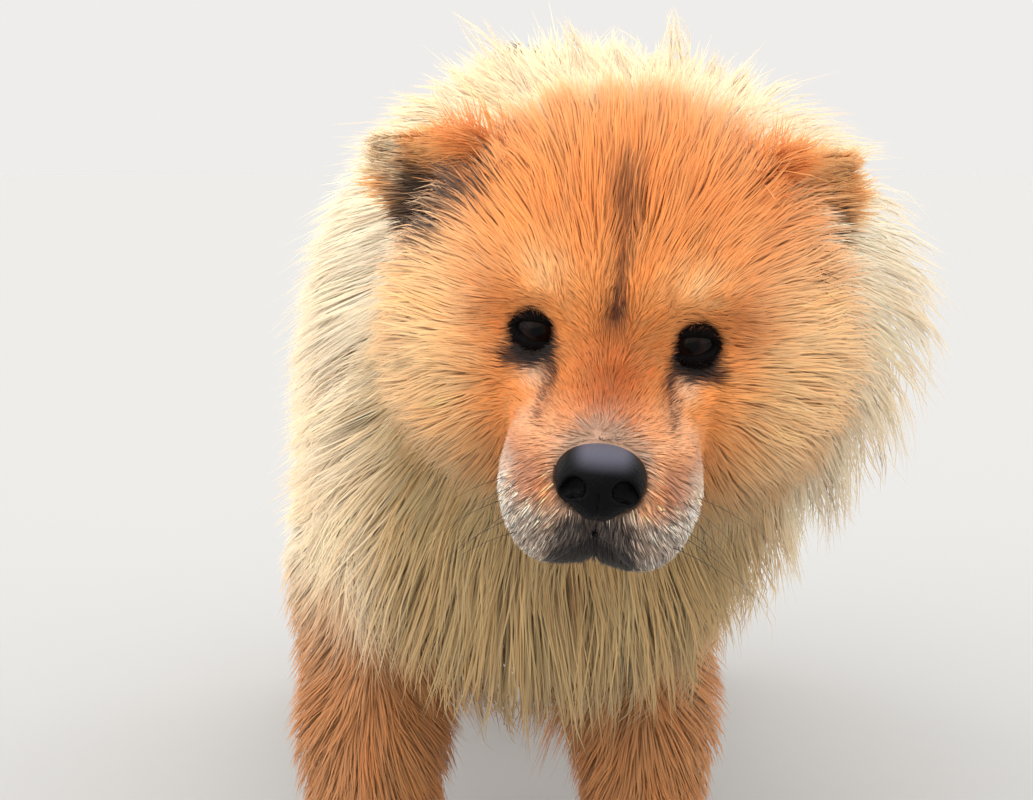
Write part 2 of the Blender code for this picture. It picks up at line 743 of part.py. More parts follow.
def lock_plan(obj, kind, taken, rng):
    """The locks of a node as (line, ups, width, height), clear of those in taken."""
    spacing, length, width, height = LOCKS[kind]
    field = tail_and_body if kind == "tail" else body_field
    roots = roots_on(obj, kind, spacing, rng)
    lines, ups = lock_paths(kind, field, roots, length, rng)
    across = unit(np.cross(lines[:, 1] - lines[:, 0], ups[:, 0])) * width * 0.45
    held = np.ones(len(lines), bool)
    for k in (0, 1):
        for shift in (-1, 0, 1):
            held &= rooted(obj.name, lines[:, k] + shift * across)
    lines, ups = lines[held], ups[held]
    others = np.concatenate([line[1:] for line, *_ in taken]) if taken else np.zeros((0, 3))
    plan = []
    for line, up in zip(lines, ups):
        size = rng.uniform(0.80, 1.15)
        near = np.linalg.norm(line[:, None] - others, axis=2).min() if len(others) else 1.0
        tail, tail_coat = tail_field(line)
        under = kind != "tail" and (tail - tail_coat).min() < LOCK_CLEARANCE
        if near > LOCK_CLEARANCE and not under:
            plan.append((line, up, width * size, height * size))
    print(obj.name, len(plan), "locks")
    return plan


def on_head(points):
    """Head-frame points moved onto the head's coated surface, in the model's frame, and the way out there."""
    points = from_head(points)
    for _ in range(4):
        distance, coat = body_field(points)
        normals = slopes(body_field, points)
        points = points - normals * (distance - coat * core_share(coat))[:, None]
    return points, normals


def lid_shape(side):
    """A band of skin over the eyeball, with an almond opening, its rim sunk in the head."""
    rings = []
    for radius, spread in ((0.0004, 0), (LID_THICKNESS, 0), (LID_THICKNESS, 1), (0.0004, 1)):
        ring = []
        for k in range(LID_SEGMENTS):
            angle = 2 * math.pi * k / LID_SEGMENTS
            opening = 1 / math.hypot(math.cos(angle) / LID_OPENING[0], math.sin(angle) / LID_OPENING[1])
            tilt = math.radians(80) if spread else math.asin(opening / EYE_RADIUS)
            turned = angle + SIDES[side] * LID_SLANT
            out = (math.sin(tilt) * math.cos(turned), -math.cos(tilt), math.sin(tilt) * math.sin(turned))
            ring.append(eye_centre(side) + (EYE_RADIUS + GAP + radius) * np.array(out))
        rings.append(ring)
    faces = []
    count = LID_SEGMENTS
    for r in range(4):
        for k in range(count):
            a, b = r * count + k, r * count + (k + 1) % count
            c, d = (r + 1) % 4 * count + (k + 1) % count, (r + 1) % 4 * count + k
            faces.append((a, b, c, d))
    obj = mesh_object("lid", from_head(np.concatenate(rings)), faces)
    return outward(obj)


def outward(obj):
    shape = bmesh.new()
    shape.from_mesh(obj.data)
    bmesh.ops.recalc_face_normals(shape, faces=shape.faces[:])
    shape.to_mesh(obj.data)
    shape.free()
    return obj


def mouth_cutters():
    """Grooves for the mouth: one down from the nose, and the line between the lips from side to side."""
    middle, _ = on_head(np.array(PHILTRUM))
    right = np.array(MOUTH_SIDE) * (-1, 1, 1)
    across, _ = on_head(np.concatenate([right[::-1], [PHILTRUM[-1]], MOUTH_SIDE]))
    radii = [MOUTH_RADIUS * (0.5 + 0.5 * math.sin(math.pi * (k + 0.5) / len(across))) for k in range(len(across))]
    return [tube(middle, [MOUTH_RADIUS * 0.7] * len(middle)), tube(across, radii)]


def nose_node(finish):
    nose = sphere("nose", (0, 0, 0), (1, 1, 1), 16, 9, np.eye(3), np.zeros(3))
    points = np.array([v.co for v in nose.data.vertices])
    points[:, 0] *= 1 + NOSE_TAPER * points[:, 2]
    points[:, 2] = np.where(points[:, 2] > 0, 0.85 * points[:, 2], points[:, 2])
    nose.data.vertices.foreach_set("co", from_head(points * NOSE_RADII + NOSE_CENTRE).ravel())
    holes = []
    for sign in SIDES.values():
        line = np.array(NOSTRIL) * (sign, 1, 1)
        holes.append(tube(from_head(line), NOSTRIL_RADII, 6))
    return finished(combined(nose, holes, "DIFFERENCE"), finish)


def sphere(name, centre, radii, segments=14, rings=8, axes=HEAD_AXES, origin=HEAD_ORIGIN):
    bpy.ops.mesh.primitive_uv_sphere_add(segments=segments, ring_count=rings, radius=1)
    obj = bpy.context.object
    obj.name = name
    place = Matrix.LocRotScale(Vector(centre), None, Vector(radii))
    obj.data.transform(Matrix(np.vstack([np.c_[axes, origin], (0, 0, 0, 1)])) @ place)
    return obj


def ear_width(u, v):
    """Half the width of an ear at a share u of its length. Its lower edge, where v > 0, is fuller."""
    if v > 0:
        return EAR_WIDTH / 2 * EAR_LOWER * (1 - u**3) ** 0.8 + EAR_TIP_WIDTH * u
    return EAR_WIDTH / 2 * EAR_UPPER * (1 - u) ** 0.9 + EAR_TIP_WIDTH * u


def ear_shape(side):
    """An ear as a closed cup: a leaf, hollow towards the front."""
    along = EAR_TIPS[side] - EAR_ROOT
    length = np.linalg.norm(along)
    along = along / length
    face = unit(EAR_FACE - (EAR_FACE @ along) * along)
    across = np.cross(along, face)
    half = EAR_THICKNESS / 2
    front, back = [], []
    for i in range(EAR_ROWS):
        u = i / (EAR_ROWS - 1)
        cup = EAR_CUP[0] * (1 - u) + EAR_CUP[1]
        for j in range(EAR_COLUMNS):
            v = 2 * j / (EAR_COLUMNS - 1) - 1
            middle = EAR_ROOT + along * u * length + across * v * ear_width(u, v) + face * cup * v * v
            middle = middle - face * EAR_BELLY * math.sin(math.pi * u)
            body = math.sqrt(max(0.0, 1 - v * v)) * (1 - EAR_THINNING * u**3)
            body = EAR_RIM + (1 - EAR_RIM) * body
            front.append(middle + face * half * body)
            back.append(middle - face * half * body)
    points = np.array(front + back) * (SIDES[side], 1, 1)
    faces = []
    shift = len(front)
    for i in range(EAR_ROWS - 1):
        for j in range(EAR_COLUMNS - 1):
            a = i * EAR_COLUMNS + j
            b, c, d = a + 1, a + 1 + EAR_COLUMNS, a + EAR_COLUMNS
            faces += [(a, b, c, d), (a + shift, d + shift, c + shift, b + shift)]
    border = list(range(EAR_COLUMNS))
    border += [i * EAR_COLUMNS + EAR_COLUMNS - 1 for i in range(1, EAR_ROWS)]
    border += [(EAR_ROWS - 1) * EAR_COLUMNS + j for j in range(EAR_COLUMNS - 2, -1, -1)]
    border += [i * EAR_COLUMNS for i in range(EAR_ROWS - 2, 0, -1)]
    for a, b in zip(border, border[1:] + border[:1]):
        faces.append((b, a, a + shift, b + shift))
    return outward(mesh_object(f"ear_{side}", from_head(points), faces))


def recentre():
    """Moves everything so that the animal's box stands on the origin with its bottom's middle."""
    meshes = [obj.data for obj in bpy.data.objects]
    points = np.array([v.co for mesh in meshes for v in mesh.vertices])
    low, high = points.min(axis=0), points.max(axis=0)
    move = Matrix.Translation(Vector((-(low[0] + high[0]) / 2, -(low[1] + high[1]) / 2, -low[2])))
    for mesh in meshes:
        mesh.transform(move)


def main():
    for obj in list(bpy.data.objects):
        bpy.data.objects.remove(obj)
    orange = material("coat_orange", ORANGE, 0.85)
    cream = material("coat_cream", CREAM, 0.85)
    rust = material("coat_rust", RUST, 0.85)
    black = material("skin_black", BLACK, 0.35)
    rng = np.random.default_rng(SEED)

    nodes = {name: body_node(name, size, cream) for name, size in BODY_NODES.items()}
    finished(nodes["head"], orange)
    nodes["tail"] = finished(meshed("tail", tail_field, *TAIL_NODE), cream)
    for side in SIDES:
        origin = (*FORE_PAW[side], 0)
        nodes[f"foreleg_{side}"] = body_node(f"foreleg_{side}", FORELEG_NODE, rust, origin)
        nodes[f"forepaw_{side}"] = paw_node(f"forepaw_{side}", FORE_PAW[side], rust)
        origin = (*HIND_PAW[side], 0)
        nodes[f"hindleg_{side}"] = body_node(f"hindleg_{side}", HINDLEG_NODE, cream, origin)
        nodes[f"hindpaw_{side}"] = paw_node(f"hindpaw_{side}", HIND_PAW[side], cream)
        nodes[f"ear_{side}"] = finished(ear_shape(side), orange)
        nodes[f"eye_{side}"] = finished(sphere(f"eye_{side}", eye_centre(side), [EYE_RADIUS] * 3), black)
    nodes["nose"] = nose_node(black)
    combined(nodes["tail"], [grown(nodes["torso"], 2 * GAP)], "DIFFERENCE")

    plans, taken = {}, []
    for name in LOCK_ORDER:
        plans[name] = lock_plan(nodes[name], name.split("_")[0], taken, rng)
        taken = taken + plans[name]
    head = nodes["head"]
    combined(head, [lid_shape(side) for side in SIDES], "UNION")
    combined(head, [grown(nodes[f"eye_{side}"], 2 * GAP) for side in SIDES], "DIFFERENCE")
    for name, plan in plans.items():
        combined(nodes[name], [lock(*item) for item in plan], "UNION")
    for k, name in list(enumerate(LOCK_ORDER))[1:]:
        cutters = [lock(*item, 1.5 * GAP) for other in LOCK_ORDER[:k] for item in plans[other]]
        combined(nodes[name], cutters, "DIFFERENCE")
    combined(head, mouth_cutters(), "DIFFERENCE")
    for other in ("nose", "ear_left", "ear_right"):
        combined(head, [grown(nodes[other], 2 * GAP)], "DIFFERENCE")
    for side in SIDES:
        combined(nodes["neck"], [grown(nodes[f"ear_{side}"], 2 * GAP)], "DIFFERENCE")
    for name in nodes:
        finished(nodes[name], nodes[name].data.materials[0])
    recentre()


main()
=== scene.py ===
"""The looks of a chow chow: one skin, a coat of tufts, eyes, nose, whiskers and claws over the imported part.

The animal is the same smooth field of named blobs and limbs that its solids are made from. The skin is a
level of that field close to the flesh, guide hairs follow the field from the skin out to the coat's full
depth, and every tuft is laid along the guides next to it. Places are in metres, in the frame that the field
is written in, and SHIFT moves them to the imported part's. There the animal looks along -Y. The head has a
frame of its own, with its middle between the eyes, and places in it are called own, or x, y and z. Places
in the field's frame are called points, or across, back and up.
"""

import functools
import itertools
import math

import bmesh
import bpy
import numpy as np
from mathutils import Matrix, Vector, kdtree


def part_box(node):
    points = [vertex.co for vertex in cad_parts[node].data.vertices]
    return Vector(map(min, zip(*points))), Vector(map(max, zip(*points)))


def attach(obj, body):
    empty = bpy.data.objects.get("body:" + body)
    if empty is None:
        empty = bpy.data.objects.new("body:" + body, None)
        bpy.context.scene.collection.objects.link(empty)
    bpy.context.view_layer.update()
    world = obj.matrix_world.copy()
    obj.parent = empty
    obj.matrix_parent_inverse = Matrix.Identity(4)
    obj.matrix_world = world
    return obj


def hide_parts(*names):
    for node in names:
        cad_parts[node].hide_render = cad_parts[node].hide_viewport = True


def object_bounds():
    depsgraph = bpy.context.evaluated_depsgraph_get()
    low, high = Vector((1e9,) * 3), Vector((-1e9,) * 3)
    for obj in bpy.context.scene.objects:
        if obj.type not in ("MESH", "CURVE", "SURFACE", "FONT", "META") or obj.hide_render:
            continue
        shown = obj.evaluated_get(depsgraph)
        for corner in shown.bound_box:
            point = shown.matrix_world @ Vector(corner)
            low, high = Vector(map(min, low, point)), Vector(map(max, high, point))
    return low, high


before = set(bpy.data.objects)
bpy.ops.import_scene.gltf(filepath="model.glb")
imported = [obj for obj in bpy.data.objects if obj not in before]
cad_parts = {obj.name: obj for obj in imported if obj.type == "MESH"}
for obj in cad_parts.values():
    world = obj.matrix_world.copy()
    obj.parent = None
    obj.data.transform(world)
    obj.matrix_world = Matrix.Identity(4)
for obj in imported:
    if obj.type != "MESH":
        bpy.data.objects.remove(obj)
CAD_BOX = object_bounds()
SEED = 11

# Measures of the animal

SIDES = {"left": 1, "right": -1}
HEAD_ORIGIN = np.array((0.046, -0.369, 0.399))
HEAD_YAW = math.radians(-4.4)
HEAD_ROLL = math.radians(5)
HEAD_PITCH = math.radians(8)
FOREHEAD_START, FOREHEAD_RUN, FOREHEAD_SHARE = -0.020, 0.090, 0.35
EYE_APART = 0.073
EYE_BACK = 0.004
EYE_RADIUS = 0.0115
LID_OPENING = (0.0088, 0.0052)
LID_SLANT = math.radians(8)
SOCKET_RADIUS = 0.0124
SOCKET_AHEAD = 0.0062
SOCKET_BLEND = 0.008
SOCKET_COAT, SOCKET_BARE, SOCKET_FADE = 0.12, 0.004, 0.022
NOSE_CENTRE = np.array((0, -0.080, -0.042))
NOSE_RADII = np.array((0.0186, 0.0150, 0.0170))
NOSE_TAPER = 0.24
PHILTRUM = ((0, -0.087, -0.058), (0, -0.084, -0.066), (0, -0.080, -0.075))
MOUTH_SIDE = (
    (0.008, -0.079, -0.080),
    (0.018, -0.071, -0.089),
    (0.029, -0.058, -0.092),
    (0.038, -0.040, -0.089),
    (0.044, -0.020, -0.079),
    (0.046, -0.002, -0.068),
)
MUZZLE_WIDTH = 0.087
EAR_ROOT = np.array((0.060, 0.080, 0.052))
EAR_TIPS = {"left": np.array((0.109, 0.104, 0.076)), "right": np.array((0.131, 0.098, 0.066))}
EAR_FACE = np.array((0.30, -0.92, -0.24))
EAR_WIDTH = 0.058
EAR_UPPER, EAR_LOWER = 0.92, 1.10
EAR_TIP_WIDTH = 0.004
EAR_CUP = (0.016, 0.004)
EAR_BELLY = 0.006
EAR_THICKNESS = 0.009
FORE_PAW = {"left": (0.084, -0.120), "right": (-0.094, -0.140)}
HIND_PAW = {"left": (0.116, 0.275), "right": (-0.116, 0.250)}
FORELEG = (
    (0.80, 0.085, 0.285, 0.050, 0.028),
    (0.96, 0.062, 0.215, 0.036, 0.028),
    (1.00, 0.030, 0.105, 0.027, 0.024),
    (1.00, 0.012, 0.030, 0.026, 0.014),
)
HINDLEG = (
    (0.72, -0.045, 0.320, 0.062, 0.040),
    (0.90, -0.090, 0.215, 0.043, 0.032),
    (1.00, 0.034, 0.120, 0.026, 0.024),
    (1.00, 0.012, 0.030, 0.025, 0.012),
)
THIGH = ((0.72, -0.040, 0.285), (0.056, 0.084, 0.105), 0.040)
FORELEG_BLEND, HINDLEG_BLEND = 0.020, 0.030
PAW_MIDDLE = 0.024
PAW_COAT, TOE_COAT = 0.004, 0.003
TOE_DROP = 0.007
PAW_RADII = np.array((0.0290, 0.0400, 0.0260))
TOE_RADII = np.array((0.0115, 0.0190, 0.0150))
TOES = ((-0.0235, -0.026), (-0.0085, -0.037), (0.0085, -0.037), (0.0235, -0.026))
CLAW_RADIUS = 0.0032
CLAW_LENGTH = 0.015
CLAW_HEIGHT = 0.017
TRUNK_BLEND = 0.045
LEG_BLEND = 0.030
FACE_BLEND = 0.014
TOE_BLEND = 0.005
SKULL = [
    ((0, 0.072, 0.012), (0.070, 0.082, 0.060), 0.034),
    ((0, 0.060, -0.050), (0.050, 0.062, 0.036), 0.034),
    ((0, -0.038, -0.040), (0.029, 0.042, 0.021), 0.004),
    ((0, -0.002, -0.020), (0.025, 0.030, 0.023), 0.006),
    ((0, -0.038, -0.076), (0.024, 0.028, 0.0145), 0.004),
]
FACE_PAIRS = [
    ((0.044, 0.058, -0.026), (0.038, 0.052, 0.044), 0.044),
    ((0.032, 0.018, 0.023), (0.026, 0.026, 0.014), 0.014),
    ((0.032, 0.012, -0.034), (0.022, 0.026, 0.020), 0.010),
    ((MUZZLE_WIDTH / 2 - 0.0235, -0.048, -0.059), (0.0235, 0.034, 0.033), 0.004),
    ((0.021, -0.012, -0.050), (0.023, 0.054, 0.027), 0.006),
]
TRUNK = [
    ((0.024, -0.060, 0.352), (0.102, 0.125, 0.122), 0.054),
    ((0.032, -0.050, 0.424), (0.068, 0.095, 0.064), 0.052),
    ((0.016, -0.160, 0.294), (0.080, 0.045, 0.085), 0.080),
    ((0.004, 0.090, 0.350), (0.110, 0.160, 0.112), 0.052),
    ((0.000, 0.225, 0.362), (0.100, 0.110, 0.098), 0.046),
]
NECK_POINTS = np.array(((0.024, -0.090, 0.405), (0.072, -0.195, 0.400), (0.050, -0.270, 0.408)))
NECK_RADII = (0.094, 0.080, 0.068)
NECK_COAT = (0.058, 0.094, 0.050)
NECK_BLEND = 0.020
NECK_TOP_COAT, NECK_TOP_RISE = 0.75, 0.12
TAIL_POINTS = np.array(
    (
        (0.000, 0.300, 0.415),
        (0.000, 0.336, 0.460),
        (0.004, 0.330, 0.510),
        (0.014, 0.280, 0.532),
        (0.028, 0.215, 0.528),
        (0.040, 0.155, 0.518),
    )
)
TAIL_RADII = (0.026, 0.022, 0.019, 0.017, 0.014, 0.010)
TAIL_COAT = (0.026, 0.030, 0.032, 0.034, 0.034, 0.030)
TAIL_BLEND = 0.015

# Fields


def head_matrix():
    """From the head's own frame to the model's, as a 3 by 3 array whose columns are the head's axes."""
    turn = Matrix.Rotation(HEAD_YAW, 3, "Z") @ Matrix.Rotation(HEAD_ROLL, 3, "Y")
    return np.array(turn @ Matrix.Rotation(HEAD_PITCH, 3, "X"))


HEAD_AXES = head_matrix()


def to_head(points):
    return (points - HEAD_ORIGIN) @ HEAD_AXES


def from_head(points):
    return np.asarray(points) @ HEAD_AXES.T + HEAD_ORIGIN


def ellipsoid(points, centre, radii):
    """Distance to an ellipsoid, close enough near its surface."""
    offset = points - np.asarray(centre)
    radii = np.asarray(radii)
    scaled = np.linalg.norm(offset / radii, axis=1)
    slope = np.maximum(np.linalg.norm(offset / radii**2, axis=1), 1e-6)
    return scaled * (scaled - 1) / slope


def limb(points, start, end, start_radius, end_radius):
    """(distance to a tapered limb, share of the way along it)"""
    start, end = np.asarray(start), np.asarray(end)
    along = end - start
    share = np.clip((points - start) @ along / (along @ along), 0, 1)
    nearest = start + share[:, None] * along
    radius = start_radius + (end_radius - start_radius) * share
    return np.linalg.norm(points - nearest, axis=1) - radius, share


def blended(first, second, blend):
    """Smooth union of two (distance, coat depth) pairs."""
    share = np.clip(0.5 + 0.5 * (second[0] - first[0]) / blend, 0, 1)
    distance = second[0] * (1 - share) + first[0] * share - blend * share * (1 - share)
    return distance, second[1] * (1 - share) + first[1] * share


def united(fields, blend):
    result = fields[0]
    for field in fields[1:]:
        result = blended(result, field, blend)
    return result


def blob_field(points, centre, radii, coat):
    return ellipsoid(points, centre, radii), np.full(len(points), coat)


def chain_field(points, joints, radii, coats, blend):
    """A chain of tapered limbs through the joints."""
    fields = []
    for k in range(len(joints) - 1):
        distance, share = limb(points, joints[k], joints[k + 1], radii[k], radii[k + 1])
        fields.append((distance, coats[k] + (coats[k + 1] - coats[k]) * share))
    return united(fields, blend)


def eye_centre(side):
    return np.array((SIDES[side] * EYE_APART / 2, EYE_BACK, 0.0))


def head_field(points):
    own = to_head(points)
    fields = [blob_field(own, *blob) for blob in SKULL]
    for sign in SIDES.values():
        for centre, radii, coat in FACE_PAIRS:
            fields.append(blob_field(own, np.array(centre) * (sign, 1, 1), radii, coat))
    distance, coat = united(fields, FACE_BLEND)
    back = np.clip((own[:, 1] - FOREHEAD_START) / FOREHEAD_RUN, 0, 1)
    coat = coat * (FOREHEAD_SHARE + (1 - FOREHEAD_SHARE) * back)
    for side in SIDES:
        socket = np.linalg.norm(own - eye_centre(side) + (0, SOCKET_AHEAD, 0), axis=1) - SOCKET_RADIUS
        share = np.clip(0.5 - 0.5 * (distance + socket) / SOCKET_BLEND, 0, 1)
        distance = distance * (1 - share) - socket * share + SOCKET_BLEND * share * (1 - share)
        coat = coat * np.clip((socket + SOCKET_BARE) / SOCKET_FADE, SOCKET_COAT, 1)
    return distance, coat


def leg_field(points, joints, paw, blend):
    x, y = paw
    places = [(share * x, y + behind, height) for share, behind, height, _, _ in joints]
    radii = [radius for *_, radius, _ in joints]
    coats = [coat for *_, coat in joints]
    return chain_field(points, places, radii, coats, blend)


def foreleg_field(points, side):
    return leg_field(points, FORELEG, FORE_PAW[side], FORELEG_BLEND)


def hindleg_field(points, side):
    x, y = HIND_PAW[side]
    (share, behind, height), radii, coat = THIGH
    thigh = blob_field(points, (share * x, y + behind, height), radii, coat)
    return blended(leg_field(points, HINDLEG, (x, y), HINDLEG_BLEND), thigh, HINDLEG_BLEND)


LEGS = ((foreleg_field, FORE_PAW), (hindleg_field, HIND_PAW))


def trunk_field(points):
    fields = [blob_field(points, *blob) for blob in TRUNK]
    neck, coat = chain_field(points, NECK_POINTS, NECK_RADII, NECK_COAT, NECK_BLEND)
    rise = np.clip((points[:, 2] - NECK_POINTS[1, 2]) / NECK_TOP_RISE, 0, 1)
    fields.append((neck, coat * (1 - (1 - NECK_TOP_COAT) * rise)))
    return united(fields, TRUNK_BLEND)


def tail_field(points):
    return chain_field(points, TAIL_POINTS, TAIL_RADII, TAIL_COAT, TAIL_BLEND)


def paw_field(points, centre):
    """The pad and four toes of a paw whose middle stands over this (x, y)."""
    middle = np.array((*centre, PAW_MIDDLE))
    fields = [blob_field(points, middle, PAW_RADII, PAW_COAT)]
    for across, ahead in TOES:
        fields.append(blob_field(points, middle + (across, ahead, -TOE_DROP), TOE_RADII, TOE_COAT))
    return united(fields, TOE_BLEND)


def ear_width(u, v):
    """Half the width of an ear at a share u of its length. Its lower edge, where v > 0, is fuller."""
    if v > 0:
        return EAR_WIDTH / 2 * EAR_LOWER * (1 - u**3) ** 0.8 + EAR_TIP_WIDTH * u
    return EAR_WIDTH / 2 * EAR_UPPER * (1 - u) ** 0.9 + EAR_TIP_WIDTH * u


# The skin lies inside the coat by this share of its depth, less over the middle of the face.
FUR_SHARE = 0.70
LEAST_FUR = 0.0022
MID_FACE_FUR = 0.42
SKIN_CELL = 0.010
SKIN_VOXEL = 0.0046
FINE_FACE = {"low": (-0.085, -0.120, -0.105), "high": (0.085, 0.075, 0.085)}
NOSE_CELL = 0.0009
END_BLEND = 0.010

# Boxes outside which the head's and the tail's fields don't matter
HEAD_BOX = ((-0.25, -0.60, 0.15), (0.30, -0.10, 0.65))
TAIL_BOX = ((-0.15, 0.05, 0.33), (0.20, 0.47, 0.66))

# How a surface cuts a tetrahedron with 1, 2 or 3 corners inside: for each triangle, inner and outer corners
CUTS = {
    1: [([0, 0, 0], [1, 2, 3])],
    2: [([0, 0, 1], [2, 3, 3]), ([0, 1, 1], [2, 3, 2])],
    3: [([0, 1, 2], [3, 3, 3])],
}

# The nose's wings and base, and each nostril's slit as places and radii, on one side
NOSE_LUMPS = (
    ((0.0112, -0.0040, -0.0010), (0.0078, 0.0100, 0.0095)),
    ((0, -0.0050, -0.0085), (0.0098, 0.0085, 0.0085)),
)
NOSTRIL = (
    ((0.0090, -0.0200, -0.0005), 0.0060),
    ((0.0108, -0.0140, -0.0010), 0.0050),
    ((0.0138, -0.0110, -0.0036), 0.0030),
    ((0.0166, -0.0095, -0.0066), 0.0012),
)
NOSTRIL_BLEND = 0.0016

# Fur: the length and width of a tuft grow with the coat's depth.
TUFT_LENGTH = (0.0045, 1.70)
TUFT_WIDTH = (0.00056, 0.0165)
LAYERS = 4.4
LEAST_LAYERS = 2.3
STRAY_SHARE = 0.09
GUIDE_TRIES = 90000
GUIDE_SHARES = np.linspace(0, 1, 7)
GUIDE_SPACINGS = ((0.005, 0.0050), (0.014, 0.0075), (0.028, 0.0115), (1.0, 0.0165))
PATCH = 0.003
MOST_TRIANGLES = 190000
TAIL_REACH = 0.032
LOOSE_CLUMPS = 40

# By its number of stations, where they are along a tuft, and its width at all but the tip
STATION_SHARES = {3: (0, 0.45, 1), 4: (0, 0.3, 0.65, 1), 5: (0, 0.2, 0.45, 0.75, 1)}
BODIES = {3: (0.8, 1.0), 4: (0.7, 1.0, 0.8), 5: (0.6, 1.0, 0.95, 0.65)}

# Pieces of the main coat and their slots
REGIONS = {
    "face": "coat_orange",
    "crown": "coat_orange",
    "ruff": "coat_cream",
    "back": "coat_cream",
    "tail": "coat_cream",
    "legs": "coat_rust",
}

EAR_TUFTS = 4200
LID_TUFTS = 2400

# The lids' section: height over the eyeball and degrees past the opening's rim
LID_PROFILE = (
    (-0.0010, -3.0),
    (0.0003, -0.5),
    (0.0010, 0.8),
    (0.0016, 4.0),
    (0.0019, 10.0),
    (0.0017, 17.0),
    (0.0011, 23.0),
    (0.0013, 31.0),
    (0.0008, 42.0),
    (-0.0002, 55.0),
    (-0.0015, 70.0),
)

# Wisps over the nape: foot, tip, spread and number of hairs
WISPS = (
    ((-0.002, -0.215, 0.521), (-0.038, -0.215, 0.563), 0.004, 16),
    ((0.006, -0.215, 0.522), (-0.019, -0.215, 0.559), 0.004, 16),
    ((0.038, -0.215, 0.532), (0.024, -0.215, 0.560), 0.008, 26),
    ((0.060, -0.210, 0.530), (0.052, -0.210, 0.550), 0.008, 20),
    ((0.088, -0.215, 0.530), (0.085, -0.215, 0.566), 0.006, 34),
    ((0.108, -0.215, 0.520), (0.112, -0.215, 0.542), 0.006, 22),
    ((0.120, -0.215, 0.514), (0.130, -0.215, 0.534), 0.005, 18),
    ((-0.030, -0.215, 0.508), (-0.051, -0.215, 0.525), 0.006, 22),
)

# How strongly the fur round each ear's root follows the ear
EAR_PULL = {"left": 0.5, "right": 1.5}

# The colour of the left legs starts this much lower than that of the right ones.
LEFT_LOWER = 0.035

# Colours, as 0 to 255 sRGB
CREAM = (248, 222, 186)
PALE_CREAM = (250, 228, 196)
APRICOT = (246, 196, 138)
ORANGE = (237, 151, 81)
DEEP_ORANGE = (225, 128, 64)
RUST = (180, 93, 43)
CREASE_SHADE = (92, 44, 22)
TAN = (247, 199, 142)
SHADE_TAN = (186, 142, 90)
CHEST_TAN_AND_SHADE = (184, 150, 94)
LEG_RUST = (186, 120, 68)
EYE_BLACK = (18, 13, 13)
EYE_BROWN = (84, 46, 32)
PINK = (244, 196, 160)
MUZZLE_BROWN = (167, 117, 95)
MUZZLE_PALE = (226, 184, 152)
MUZZLE_GREY = (148, 137, 126)
MUZZLE_RIM = (222, 204, 184)
LIP_GREY = (46, 41, 41)
EAR_BROWN_AND_SHADE = (50, 30, 20)
EAR_ORANGE = (252, 182, 116)
LID_HAIR = (17, 13, 13)
LID_SKIN = (8, 6, 6)
HORN = (48, 40, 36)
WHISKER = (30, 24, 22)
LIP_LINE = (26, 20, 20)

# The forelegs' and the hind legs' colour, and the height where it starts
LEG_TINTS = ((LEG_RUST, 0.235), (TAN, 0.24))

# Helpers


def smooth(value, low, high):
    """0 at low, 1 at high, rising or falling smoothly between them."""
    t = np.clip((value - low) / (high - low), 0, 1)
    return t * t * (3 - 2 * t)


def hill(value, middle, width):
    return np.exp(-(((value - middle) / width) ** 2))


def unit(vectors):
    return vectors / np.maximum(np.linalg.norm(vectors, axis=-1), 1e-9)[..., None]


def linear(colour):
    c = np.array(colour, float) / 255
    return np.where(c <= 0.04045, c / 12.92, ((c + 0.055) / 1.055) ** 2.4)


def joined(first, field, points, box, blend):
    """Blends a field into a first one. It is only worked out for points in a box."""
    near = ((points > box[0]) & (points < box[1])).all(axis=1)
    if not near.any():
        return first
    distance, coat = first[0].copy(), first[1].copy()
    distance[near], coat[near] = blended((distance[near], coat[near]), field(points[near]), blend)
    return distance, coat


def animal(points):
    """(distance to the flesh, depth of the coat) of the whole animal but its ears."""
    result = joined(trunk_field(points), head_field, points, HEAD_BOX, TRUNK_BLEND)
    for side in SIDES:
        for field, paws in LEGS:
            x, y = paws[side]
            box = (x - 0.19, y - 0.26, -0.05), (x + 0.19, y + 0.26, 0.47)
            result = joined(result, lambda p, f=field, s=side: f(p, s), points, box, LEG_BLEND)
    result = joined(result, tail_field, points, TAIL_BOX, END_BLEND)
    for x, y in (*FORE_PAW.values(), *HIND_PAW.values()):
        box = (x - 0.08, y - 0.11, -0.05), (x + 0.08, y + 0.09, 0.11)
        result = joined(result, lambda p, c=(x, y): paw_field(p, c), points, box, END_BLEND)
    return result


def creases(own):
    """How far folds of skin sink the face, in the head's frame."""
    x, y, z = own.T
    side = np.abs(x)
    brow = 0.0045 * hill(x, 0, 0.0045) * smooth(z, 0.004, 0.020) * smooth(z, 0.085, 0.060)
    cheek = 0.0040 * hill(side - 0.046 - 0.15 * (z + 0.05), 0, 0.0045) * smooth(z, -0.012, -0.028)
    cheek = cheek * smooth(z, -0.092, -0.075) * smooth(y, -0.050, -0.030)
    frown = 0.0022 * hill(side - 0.020 - 0.5 * (z - 0.016), 0, 0.0040)
    frown = frown * smooth(z, 0.010, 0.018) * smooth(z, 0.050, 0.034)
    bridge = 0.0016 * hill(z + 0.012, 0, 0.0040) * smooth(side, 0.024, 0.012)
    groove = 0.0030 * hill(x, 0, 0.0022) * smooth(z, -0.055, -0.062) * smooth(y, -0.04, -0.06)
    front = smooth(y, 0.035, 0.0)
    return (brow + frown) * front + cheek + bridge * front + groove


def skin_level(points):
    """(distance to the skin, depth of the fur on it)"""
    distance, coat = animal(points)
    own = to_head(points)
    x, y, z = own.T
    middle = smooth(np.hypot(x / 0.060, (z + 0.012) / 0.060), 1.15, 0.55) * smooth(y, 0.050, 0.025)
    fur = np.maximum(FUR_SHARE * coat * (1 - (1 - MID_FACE_FUR) * middle), LEAST_FUR)
    return distance - coat + fur + creases(own), fur


